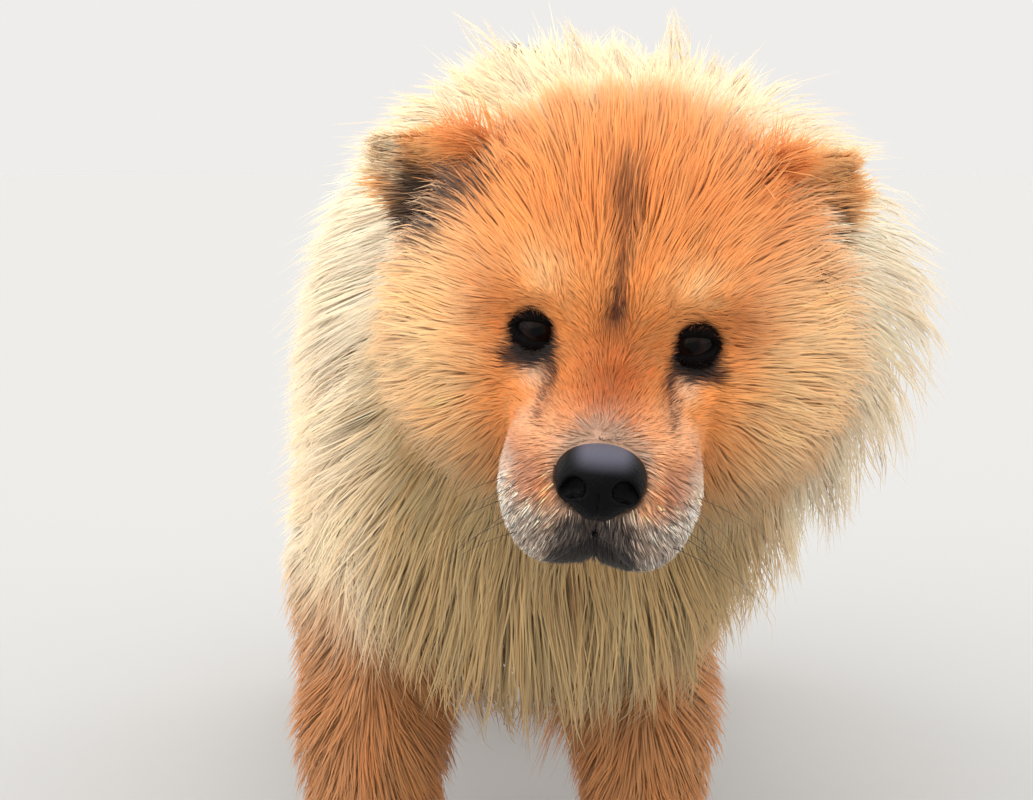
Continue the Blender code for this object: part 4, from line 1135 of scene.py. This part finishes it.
def tuft_colours(lines, clump, rng, painted):
    """A colour for every vertex: that of its place, with painted shade at the root, and a little different in
    each clump.

    White hairs and dark ones are mixed on the muzzle.
    """
    roots, steps = lines[:, 0], lines.shape[1] - 1
    half = (steps + 1) // 2
    loose = rng.normal(0, 1, roots.shape)
    loose = loose * np.minimum(np.linalg.norm(lines[:, -1] - roots, axis=1), 0.06)[:, None]
    first, middle, last = [painted(lines[:, k] + 0.13 * loose) for k in (0, half, steps)]
    clumps = np.random.default_rng(SEED).normal(0, 1, (clump.max() + 1, 2))
    light = 1 + 0.05 * clumps[clump, 0] + 0.045 * rng.normal(0, 1, len(roots))
    warm = 0.04 * clumps[clump, 1] + 0.03 * rng.normal(0, 1, len(roots))
    own = to_head(roots)
    _, y, z = own.T
    mixed = smooth(y, -0.025, -0.045) * smooth(z, -0.040, -0.056)
    by_nose = 0.55 * smooth(z, -0.030, -0.042) * smooth(y, -0.035, -0.055)
    mixed = np.maximum(mixed, by_nose * smooth(nose_rings(own), 1.45, 1.15))
    light = light * np.exp(0.70 * mixed * rng.normal(0, 1, len(roots)) + 0.15 * mixed)
    tint = np.clip(light, 0.2, 4.0)[:, None] * (1 + warm[:, None] * np.array((1.0, 0.0, -1.0)))
    share = np.append(np.repeat(np.arange(steps), 3), steps) / steps
    up = np.clip(share / (half / steps), 0, 1)[None, :, None]
    over = np.clip((share - half / steps) / (1 - half / steps), 0, 1)[None, :, None]
    base = first[:, None] * (1 - up) + middle[:, None] * (up - over) + last[:, None] * over
    # Painted shade: each tuft is darker towards its root.
    shade = 0.94 + 0.12 * share**0.8
    return np.clip(base * tint[:, None] * shade[None, :, None], 0.002, 0.98)


def region_of(points, coat):
    """Which piece of the coat each root belongs to."""
    region = np.where(points[:, 1] < -0.02, "ruff", "back")
    region[points[:, 2] < 0.24] = "legs"
    region[tail_field(points)[0] < np.minimum(TAIL_REACH, trunk_field(points)[0])] = "tail"
    return np.where(head_weight(points) > 0.5, np.where(coat < 0.009, "face", "crown"), region)


def make_coat(skin, finish):
    """The main coat, as a piece for each region and number of stations along a tuft."""
    rng = np.random.default_rng(SEED)
    guides = guide_lines(skin, rng)

    def density(points):
        _, coat = skin_level(points)
        length, width = tuft_size(points, coat)
        return layers(points, coat) / (0.6 * length * width)

    roots = spread_over(skin, density, rng)
    roots = roots[~bare(roots)]
    _, coat = skin_level(roots)
    length, width = tuft_size(roots, coat)
    region = region_of(roots, coat)
    stations = np.where(length < 0.018, 3, np.where(length < 0.095, 4, 5))
    for (name, slot), (count, shares) in itertools.product(REGIONS.items(), STATION_SHARES.items()):
        chosen = np.flatnonzero((region == name) & (stations == count))
        if len(chosen) < 1:
            continue
        own_roots = roots[chosen]
        stray = rng.random(len(chosen)) < STRAY_SHARE
        lines, ups, clump, depth = follow(own_roots, guides, rng, shares, stray)
        lines = curled(lines, ups, depth, clump, shares, rng, stray)
        lines[:, 0] -= ups[:, 0] * 0.001
        sizes = width[chosen] * rng.uniform(0.75, 1.25, len(chosen)) * np.where(stray, 0.5, 1.0)
        tufts = (lines, ups, sizes, clump)
        make_fur(f"coat_{name}_{count}", slot, tufts, markings, rng, unwrap(own_roots), finish)


def curled(lines, ups, depth, clump, shares, rng, stray):
    """Bends tufts sideways in soft waves, mostly alike in each clump. Strays stand out a little more."""
    count, shares = len(lines), np.array(shares)[None]
    across = unit(np.cross(unit(lines[:, -1] - lines[:, 0]), ups[:, 0]))
    phases = np.random.default_rng(SEED + 1).uniform(0, 2 * math.pi, clump.max() + 1)
    phase = (phases[clump] + rng.normal(0, 0.5, count))[:, None]
    wavy = smooth(lines[:, 0, 0], 0.08, 0.15) * smooth(lines[:, 0, 1], 0.05, -0.05)
    size = (0.055 + 0.045 * wavy) * depth * rng.uniform(0.5, 1.3, count)
    wave = np.sin(phase + shares * 5.0) - np.sin(phase)
    calm = (1 - 0.5 * chest(lines[:, 0]))[:, None]
    loose = rng.normal(0, 0.045, (count, 1)) * depth[:, None] * shares * calm
    lift = np.abs(rng.normal(0, 0.07, (count, 1))) * depth[:, None] * shares * calm
    lift *= np.where(stray, 2.2, 1.0)[:, None]
    bend = (size[:, None] * shares * wave + loose)[:, :, None] * across[:, None]
    result = lines + bend + lift[:, :, None] * ups
    result[:, :, 2] = np.maximum(result[:, :, 2], 0.0012)
    start = result[:, :1]
    out = np.abs(start[:, 0, 0] - WIDTH_MIDDLE)
    reach = np.abs(result[:, :, 0] - WIDTH_MIDDLE).max(axis=1) - out
    least = np.clip((HALF_WIDTH - out) / np.maximum(reach, 1e-6), 0.3, 1)
    return start + (result - start) * least[:, None, None]


def on_mesh(skin, roots):
    """The normals of a mesh's vertices next to these places."""
    tree = kdtree.KDTree(len(skin.data.vertices))
    for k, vertex in enumerate(skin.data.vertices):
        tree.insert(vertex.co, k)
    tree.balance()
    return np.array([skin.data.vertices[tree.find(p)[1]].normal for p in roots])


def laid_over(skin, roots, way, length, lift, sag, rng, shares):
    """Lines and normals of tufts that leave a mesh one way, rise off it by a lift and sag."""
    normals = on_mesh(skin, roots)
    rise = (way * normals).sum(axis=1)
    way = unit(way - normals * rise[:, None] + rng.normal(0, 0.10, roots.shape))
    shares = np.array(shares)
    height = (lift * shares**0.8 + 0.02)[None, :, None]
    bend = way[:, None] * shares[None, :, None] + normals[:, None] * height
    lines = roots[:, None] + bend * length[:, None, None]
    lines[:, :, 2] -= (sag * length)[:, None] * shares[None] ** 2
    return lines, np.repeat(normals[:, None], len(shares), axis=1)


def make_ear_coat(side, skin, finish):
    """Fur laid along an ear: short at the tip, long at its root and lower edge."""
    left = side == "left"
    rng = np.random.default_rng(SEED + (3 if left else 4))
    roots = spread_over(skin, None, rng, EAR_TUFTS)
    u, v, height = ear_place(side, roots)
    keep = u > -0.10
    roots, u, v, height = roots[keep], u[keep], v[keep], height[keep]
    along, _, across, _ = ear_axes(side)
    edge = np.clip(np.abs(v), 0, 1)
    outwards = np.where(v > 0, 0.60, 2.1) * np.sign(v) * edge**2
    way = (along[None] + across[None] * outwards[:, None]) * np.array((SIDES[side], 1, 1))
    way = unit(way @ HEAD_AXES.T)
    length = 0.010 + 0.013 * smooth(u, 0.7, 0.0) + 0.012 * smooth(height, -0.004, -0.020)
    length += 0.010 * smooth(v, -0.35, -0.85)
    length = length * rng.uniform(0.75, 1.2, len(roots))
    sag = 0.20 * (1 - np.clip(u, 0, 1))
    lines, ups = laid_over(skin, roots, way, length, 0.30, sag, rng, STATION_SHARES[4])
    widths = 0.00072 * rng.uniform(0.7, 1.3, len(roots))
    clump = np.floor((u + 1) * 18).astype(int) * 60 + np.floor((v + 2) * 10).astype(int)
    down = 0.82 + 0.08 * (np.clip(v, -1, 1) + 1)
    uv = np.stack([0.46 + 0.06 * np.clip(u, 0, 1) + (0.07 if left else 0), down], axis=1)
    tufts = (lines, ups, widths, clump - clump.min())
    painted = functools.partial(ear_markings, side)
    make_fur(f"coat_ear_{side}", "coat_orange", tufts, painted, rng, uv, finish, normals=False)


def make_lid_coat(side, lid, finish):
    """Short dark hairs on the lids, laid away from the eye's opening."""
    rng = np.random.default_rng(SEED + (5 if side == "left" else 6))
    roots = spread_over(lid, None, rng, LID_TUFTS)
    off = to_head(roots) - eye_centre(side)
    opening = np.hypot(off[:, 0] / LID_OPENING[0], off[:, 2] / LID_OPENING[1])
    keep = (opening > 1.16) & (np.linalg.norm(off, axis=1) > EYE_RADIUS + 0.0004) & (off[:, 1] < 0)
    roots, off = roots[keep], off[keep]
    way = unit((unit(off * (1, 0, 1)) + (SIDES[side] * 0.35, -0.15, -0.05)) @ HEAD_AXES.T)
    length = rng.uniform(0.0028, 0.0058, len(roots)) * smooth(opening[keep], 0.9, 1.6)
    length *= 1 - 0.40 * smooth(off[:, 2], 0.001, 0.005)
    lines, ups = laid_over(lid, roots, way, length, 0.14, 0, rng, STATION_SHARES[3])
    widths = 0.00045 * rng.uniform(0.7, 1.3, len(roots))
    tufts = (lines, ups, widths, rng.integers(0, LOOSE_CLUMPS, len(roots)))

    def painted(points):
        far = np.linalg.norm(to_head(points) - eye_centre(side), axis=1)
        return paint(markings(points), LID_HAIR, smooth(far, 0.0165, 0.0140))

    make_fur(f"coat_lid_{side}", "coat_rust", tufts, painted, rng, unwrap(roots), finish, spread=0.55)


def make_wisps(finish):
    """Long loose hairs over the nape."""
    rng = np.random.default_rng(SEED + 9)
    shares = np.array(STATION_SHARES[5])[:, None]
    lines = []
    for foot, tip, spread, count in WISPS:
        foot, tip = np.array(foot), np.array(tip)
        way = tip - foot
        for _ in range(count):
            start = foot - 0.25 * way + rng.normal(0, spread, 3)
            end = tip + rng.normal(0, 0.25 * spread, 3) - way * rng.uniform(0, 0.45)
            bend = np.cross(way, rng.normal(0, 1, 3)) * 0.30
            lines.append(start + (end - start) * shares + bend * (shares * (1 - shares)))
    lines = np.array(lines)
    ups = np.tile((0.0, -0.85, 0.53), (*lines.shape[:2], 1))
    widths = rng.uniform(0.0004, 0.0008, len(lines))
    tufts = (lines, ups, widths, rng.integers(0, LOOSE_CLUMPS, len(lines)))

    def painted(points):
        return np.tile(linear(CREAM), (len(points), 1))

    make_fur("coat_wisps", "coat_cream", tufts, painted, rng, unwrap(lines[:, 0]), finish)


# Finishes


def new_material(name, values):
    """A material whose surface has these constant values."""
    made = bpy.data.materials.new(name)
    made.use_nodes = True
    for key, value in values.items():
        made.node_tree.nodes["Principled BSDF"].inputs[key].default_value = value
    return made


def added(made, kind, **values):
    """A new node. A value in small letters is the node's own, others go to its inputs, with _ for a space."""
    node = made.node_tree.nodes.new("ShaderNode" + kind)
    for key, value in values.items():
        if key.islower():
            setattr(node, key, value)
        elif isinstance(value, bpy.types.NodeSocket):
            made.node_tree.links.new(value, node.inputs[key.replace("_", " ")])
        else:
            node.inputs[key.replace("_", " ")].default_value = value
    return node


def on_surface(made, socket, value):
    made.node_tree.links.new(value, made.node_tree.nodes["Principled BSDF"].inputs[socket])


def mesh_colour(made):
    return added(made, "Attribute", attribute_name="coat").outputs["Color"]


def fur_material(name, roughness, sheen, streaks=0, specular=0.22):
    """Fur: its colour comes with the mesh, with fine streaks along each tuft or a fine mottling."""
    values = {"Roughness": roughness, "Specular IOR Level": specular, "Sheen Weight": sheen}
    made = new_material(name, {**values, "Sheen Roughness": 0.5, "Sheen Tint": (1.0, 0.93, 0.82, 1)})
    if streaks:
        strand = added(made, "UVMap", uv_map="strand").outputs["UV"]
        place = added(made, "Mapping", Vector=strand, Scale=(streaks, 0.8, 1)).outputs["Vector"]
        noise = added(made, "TexNoise", Vector=place, Scale=1, Detail=2).outputs["Fac"]
    else:
        place = added(made, "TexCoord").outputs["Object"]
        noise = added(made, "TexNoise", Vector=place, Scale=260, Detail=2).outputs["Fac"]
    light = added(made, "MapRange", Value=noise, From_Min=0.3, From_Max=0.7, To_Min=0.87, To_Max=1.13)
    light = light.outputs["Result"]
    mixed = added(made, "VectorMath", operation="SCALE", Vector=mesh_colour(made), Scale=light)
    on_surface(made, "Base Color", mixed.outputs["Vector"])
    return made


def bumped(made, scale, strength, distance, pebbles=False):
    """Adds small uneven bumps to a material, or the rounded pebbles of a nose."""
    place = added(made, "TexCoord").outputs["Object"]
    if pebbles:
        height = added(made, "TexVoronoi", Vector=place, Scale=scale).outputs["Distance"]
    else:
        height = added(made, "TexNoise", Vector=place, Scale=scale, Detail=3).outputs["Fac"]
    bump = added(made, "Bump", invert=pebbles, Height=height, Strength=strength, Distance=distance)
    on_surface(made, "Normal", bump.outputs["Normal"])
    return made


def vertex_material(name, roughness, specular):
    made = new_material(name, {"Roughness": roughness, "Specular IOR Level": specular})
    on_surface(made, "Base Color", mesh_colour(made))
    return made


# Eyes, nose, claws and whiskers


def ball(name, centre, radius, segments=64, rings=40):
    """A sphere whose poles lie on the head's own Y axis, about a centre in its frame."""
    tilt = np.repeat(math.pi * np.arange(rings + 1) / rings, segments)
    angle = np.tile(2 * math.pi * np.arange(segments) / segments, rings + 1)
    local = np.stack([np.sin(tilt) * np.cos(angle), -np.cos(tilt), np.sin(tilt) * np.sin(angle)], axis=1)
    obj = filled_mesh(name, from_head(centre + local * radius) + SHIFT, ring_faces(rings + 1, segments))
    return outward(reshaped(obj, lambda s: bmesh.ops.remove_doubles(s, verts=s.verts[:], dist=0.00001)))


def make_eye(side, finish):
    """An eyeball with a domed cornea, a dark brown iris with rays, and its pupil."""
    centre = eye_centre(side)
    obj = ball(f"eyeball_{side}", centre, EYE_RADIUS - 0.0003)
    points = to_head(points_of(obj) - SHIFT) - centre
    gaze = unit(np.array((-SIDES[side] * 0.04, -1.0, 0.02)))
    out = unit(points)
    away = np.arccos(np.clip(out @ gaze, -1, 1))
    turn = np.arctan2(out[:, 2], out[:, 0])
    rays = 0.5 + 0.25 * np.sin(turn * 23) + 0.25 * np.sin(turn * 37 + 1.3)
    iris = smooth(away, math.radians(38), math.radians(33))[:, None]
    pupil = smooth(away, math.radians(17), math.radians(14))[:, None]
    brown = linear((30, 18, 14)) * (0.5 + 0.7 * rays * smooth(away, 0.25, 0.60))[:, None]
    colour = linear((13, 10, 10)) * (1 - iris) + brown * iris
    add_colours(obj, colour * (1 - pupil) + linear((6, 5, 6)) * pupil)
    dome = 0.0007 * smooth(away, math.radians(40), math.radians(10))
    set_points(obj, from_head(centre + points + out * dome[:, None]) + SHIFT)
    obj.data.materials.append(finish)
    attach(obj, "root")
    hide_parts(f"eye_{side}")


def nose_field(points):
    """Distance to the nose leather, in the head's frame: a wedge with wings, nostrils and a groove."""
    x, y, z = (points - NOSE_CENTRE).T
    side = np.abs(x)
    taper = 1 + NOSE_TAPER * z / NOSE_RADII[2]
    squeezed = np.stack([x / np.maximum(taper, 0.3), y, np.where(z > 0, z / 0.88, z)], axis=1)
    mirrored = np.stack([side, y, z], axis=1)
    body = blob_field(squeezed, (0, 0, 0), NOSE_RADII, 0)
    level = united([body, *(blob_field(mirrored, *lump, 0) for lump in NOSE_LUMPS)], 0.004)[0]
    for (start, start_radius), (end, end_radius) in zip(NOSTRIL, NOSTRIL[1:]):
        cut = limb(mirrored, start, end, start_radius, end_radius)[0]
        share = np.clip(0.5 - 0.5 * (level + cut) / NOSTRIL_BLEND, 0, 1)
        level = level * (1 - share) - cut * share + NOSTRIL_BLEND * share * (1 - share)
    groove = 0.0012 * hill(x, 0, 0.0009) * smooth(z, 0.003, -0.003)
    return level + groove * smooth(y, 0, -0.006)


def make_nose(finish):
    low, high = NOSE_CENTRE - (0.028, 0.024, 0.026), NOSE_CENTRE + (0.028, 0.022, 0.022)
    vertices, faces = level_surface(nose_field, low, high, NOSE_CELL)
    obj = filled_mesh("nose_leather_skin", from_head(vertices), faces)
    x, y, z = (vertices - NOSE_CENTRE).T
    # Painted highlight: a pale blue-grey sheen across the top of the nose leather.
    painted_highlight = smooth(z, 0.0055, 0.0135) * smooth(np.abs(x - 0.001), 0.016, 0.007)
    colour = np.tile(linear((5, 5, 6)), (len(vertices), 1)) + linear((98, 98, 112)) * (0.75 * painted_highlight)[:, None]
    # Painted shade: darker inside the nostrils.
    hollow = np.stack([np.abs(x) - 0.0106, y + 0.0150, z + 0.0010], axis=1)
    hollow = np.linalg.norm(hollow / (0.0062, 0.0080, 0.0054), axis=1)
    colour = colour * (1 - 0.85 * smooth(hollow, 1.1, 0.8))[:, None]
    set_points(obj, from_head(vertices) + SHIFT)
    add_colours(obj, colour)
    obj.data.materials.append(finish)
    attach(obj, "root")
    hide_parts("nose")


def tubes(name, lines, radii, finish, colour, sides=6):
    """Round tubes along lines, closed at both ends, in one mesh."""
    vertices, faces = [], []
    for line, sizes in zip(lines, radii):
        line = np.asarray(line, float)
        along = unit(np.gradient(line, axis=0))
        first = unit(np.cross(along, (0.31, 0.17, 0.93)))
        second = np.cross(along, first)
        start = len(vertices)
        for k, radius in enumerate(sizes):
            for i in range(sides):
                angle = 2 * math.pi * i / sides
                vertices.append(line[k] + radius * (math.cos(angle) * first[k] + math.sin(angle) * second[k]))
        for quad in ring_faces(len(sizes), sides):
            a, b, c, d = (start + corner for corner in quad)
            faces += [(a, b, c), (a, c, d)]
        for ring, order in ((start, -1), (start + (len(sizes) - 1) * sides, 1)):
            faces += [(ring, ring + i, ring + i + 1)[::order] for i in range(1, sides - 1)]
    obj = outward(filled_mesh(name, np.array(vertices) + SHIFT, np.array(faces)))
    add_colours(obj, np.tile(linear(colour), (len(vertices), 1)))
    obj.data.materials.append(finish)
    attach(obj, "root")


def make_claws(finish):
    steps = np.linspace(0, 1, 7)
    radii = [[CLAW_RADIUS * (1 - 0.85 * s**1.6) for s in steps]] * len(TOES)
    for kind, paws in (("fore", FORE_PAW), ("hind", HIND_PAW)):
        for side, (x, y) in paws.items():
            lines = []
            for across, ahead in TOES:
                start = np.array((x + across, y + ahead - TOE_RADII[1] + 0.5 * CLAW_LENGTH, CLAW_HEIGHT))
                lines.append([start + (0, -(CLAW_LENGTH + 0.003) * s, -0.010 * s * s) for s in steps])
            tubes(f"claws_{kind}paw_{side}", lines, radii, finish, HORN, 10)


def on_skin(own):
    return drawn_to_skin(from_head(own), 0.001, 5)


def make_whiskers(finish):
    rng = np.random.default_rng(SEED + 7)
    steps = np.linspace(0, 1, 8)
    sag = np.array((0, 0.35, -0.45))
    lines = []
    for sign, row, column in itertools.product(SIDES.values(), range(3), range(2)):
        x, y = sign * (0.027 + 0.0055 * column), -0.066 + 0.009 * column
        root = on_skin(np.array([[x, y, -0.053 - 0.0085 * row - 0.001 * column]]))[0]
        way = (sign * rng.uniform(0.7, 1.1), -0.35 + 0.15 * column, rng.uniform(-0.75, -0.1))
        way = unit(np.array(way) @ HEAD_AXES.T)
        length = rng.uniform(0.025, 0.048)
        lines.append([root + way * length * s + sag * length * s * s * 0.6 for s in steps])
    radii = [[0.00016 * (1 - 0.8 * s) for s in steps]] * len(lines)
    tubes("whiskers", lines, radii, finish, WHISKER, 4)


def make_lips(finish):
    """The dark line of the mouth, from its middle back along each lip, and the groove above it."""
    paths = [np.array([PHILTRUM[-1], *MOUTH_SIDE]) * (sign, 1, 1) for sign in SIDES.values()]
    lines = []
    for path, count in zip((*paths, np.array(PHILTRUM)), (40, 40, 16)):
        steps = np.linspace(0, len(path) - 1, count)
        places = [np.interp(steps, np.arange(len(path)), axis) for axis in path.T]
        lines.append(on_skin(np.stack(places, axis=1)))
    side = [0.0021 * (0.45 + 0.55 * math.sin(math.pi * (k + 4) / 46)) for k in range(40)]
    tubes("lips", lines, [side, side, [0.0008] * 16], finish, LIP_LINE, 10)


def whole_skin(skin, ears, lids, finish):
    """Joins skin, ears and lids in one piece, which takes the place of all the flesh."""
    points = points_of(skin)
    own = to_head(points)
    ring = smooth(nose_rings(own), 1.18, 1.08) * smooth(own[:, 1], -0.04, -0.06)
    ring = ring * smooth(own[:, 2], -0.034, -0.040)
    colours = [paint(markings(points), EYE_BLACK, 0.9 * ring)]
    colours += [ear_markings(side, points_of(ear)) for side, ear in ears.items()]
    colours += [np.tile(linear(LID_SKIN), (len(lid.data.vertices), 1)) for lid in lids.values()]
    pieces = [skin, *ears.values(), *lids.values()]
    vertices, faces = [], []
    for piece in pieces:
        start = len(vertices)
        faces += [[v + start for v in polygon.vertices] for polygon in piece.data.polygons]
        vertices += (points_of(piece) + SHIFT).tolist()
        bpy.data.objects.remove(piece)
    mesh = bpy.data.meshes.new("skin_whole")
    mesh.from_pydata(vertices, [], faces)
    mesh.polygons.foreach_set("use_smooth", np.ones(len(faces), bool))
    mesh.materials.append(finish)
    whole = bpy.data.objects.new("skin_whole", mesh)
    bpy.context.scene.collection.objects.link(whole)
    add_colours(whole, np.concatenate(colours))
    flesh = ["head", "neck", "torso", "tail", "ear_left", "ear_right"]
    flesh += [f"{kind}_{side}" for kind in ("foreleg", "forepaw", "hindleg", "hindpaw") for side in SIDES]
    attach(whole, "root")
    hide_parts(*flesh)


# Assembly

corners = np.array([list(c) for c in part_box("eye_left")])
SHIFT = corners.mean(axis=0) - from_head(eye_centre("left"))
WIDTH_MIDDLE = (CAD_BOX[0][0] + CAD_BOX[1][0]) / 2 - SHIFT[0]
HALF_WIDTH = (CAD_BOX[1][0] - CAD_BOX[0][0]) / 2 + 0.020

skin = make_skin()
fur = fur_material("fur", 0.62, 0.12, 4)
dark_fur = fur_material("dark_fur", 0.9, 0.0, 4, 0.05)
ears = {side: ear_mesh(side) for side in SIDES}
lids = {side: lid_mesh(side) for side in SIDES}
make_coat(skin, fur)
for side in SIDES:
    make_ear_coat(side, ears[side], fur)
    make_lid_coat(side, lids[side], dark_fur)
make_wisps(fur)
skin_finish = bumped(fur_material("skin_under_fur", 0.85, 0.0, specular=0.08), 420, 0.5, 0.002)
whole_skin(skin, ears, lids, skin_finish)

wet = vertex_material("wet_eye", 0.12, 0.07)
for side in SIDES:
    make_eye(side, wet)
make_nose(bumped(vertex_material("nose_skin", 0.42, 0.07), 620, 0.35, 0.0006, pebbles=True))
horn = bumped(vertex_material("claw_horn", 0.35, 0.5), 300, 0.2, 0.0005)
make_claws(horn)
make_whiskers(horn)
make_lips(bumped(vertex_material("lip_skin", 0.4, 0.5), 500, 0.4, 0.0006))

# Floor, light and camera

FLOOR_RADIUS = 40
WORLD_COLOUR = (1.0, 0.985, 0.965, 1)
WORLD_STRENGTH = 0.86
SENSOR = 36
PHOTO_WIDTH = 1033
FOCAL_PIXELS = 1552
CAMERA_PLACE = (0.0, -1.09, 0.483)
CAMERA_TURN = 81

bpy.ops.mesh.primitive_circle_add(vertices=96, radius=FLOOR_RADIUS, fill_type="NGON", location=(0, 0, 0))
floor = bpy.context.object
floor.name = "floor"
ground = {"Base Color": (0.446, 0.449, 0.452, 1), "Roughness": 0.9, "Specular IOR Level": 0.0}
floor.data.materials.append(bumped(new_material("pale_floor", ground), 30, 0.05, 0.002))

world = bpy.data.worlds.new("studio")
bpy.context.scene.world = world
world.use_nodes = True
world.node_tree.nodes["Background"].inputs["Color"].default_value = WORLD_COLOUR
world.node_tree.nodes["Background"].inputs["Strength"].default_value = WORLD_STRENGTH


def sun(name, turn, height, strength, softness, colour):
    """A soft distant light from a turn, 0 behind the camera and rising anticlockwise, and a height."""
    data = bpy.data.lights.new(name, "SUN")
    data.energy = strength
    data.angle = math.radians(softness)
    data.color = colour
    light = bpy.data.objects.new(name, data)
    a, h = math.radians(turn), math.radians(height)
    way = Vector((math.sin(a) * math.cos(h), -math.cos(a) * math.cos(h), math.sin(h)))
    light.rotation_euler = way.to_track_quat("Z", "Y").to_euler()
    bpy.context.scene.collection.objects.link(light)


sun("key", -30, 48, 1.70, 90, (1.0, 0.97, 0.93))
sun("back_right", 150, 48, 0.95, 60, (1.0, 0.97, 0.92))
sun("back_left", -140, 35, 0.75, 60, (1.0, 0.98, 0.96))
sun("side_left", -85, 22, 1.15, 80, (1.0, 0.97, 0.93))
sun("side_right", 85, 22, 1.25, 80, (1.0, 0.97, 0.93))

camera_data = bpy.data.cameras.new("camera")
camera_data.sensor_width = SENSOR
camera_data.sensor_fit = "HORIZONTAL"
camera_data.lens = FOCAL_PIXELS / PHOTO_WIDTH * SENSOR
camera_data.clip_start = 0.02
camera = bpy.data.objects.new("camera", camera_data)
camera.location = Vector(CAMERA_PLACE) + Vector(SHIFT)
camera.rotation_euler = (math.radians(CAMERA_TURN), 0, 0)
bpy.context.scene.collection.objects.link(camera)
bpy.context.scene.camera = camera
bpy.context.scene.view_settings.view_transform = "Standard"
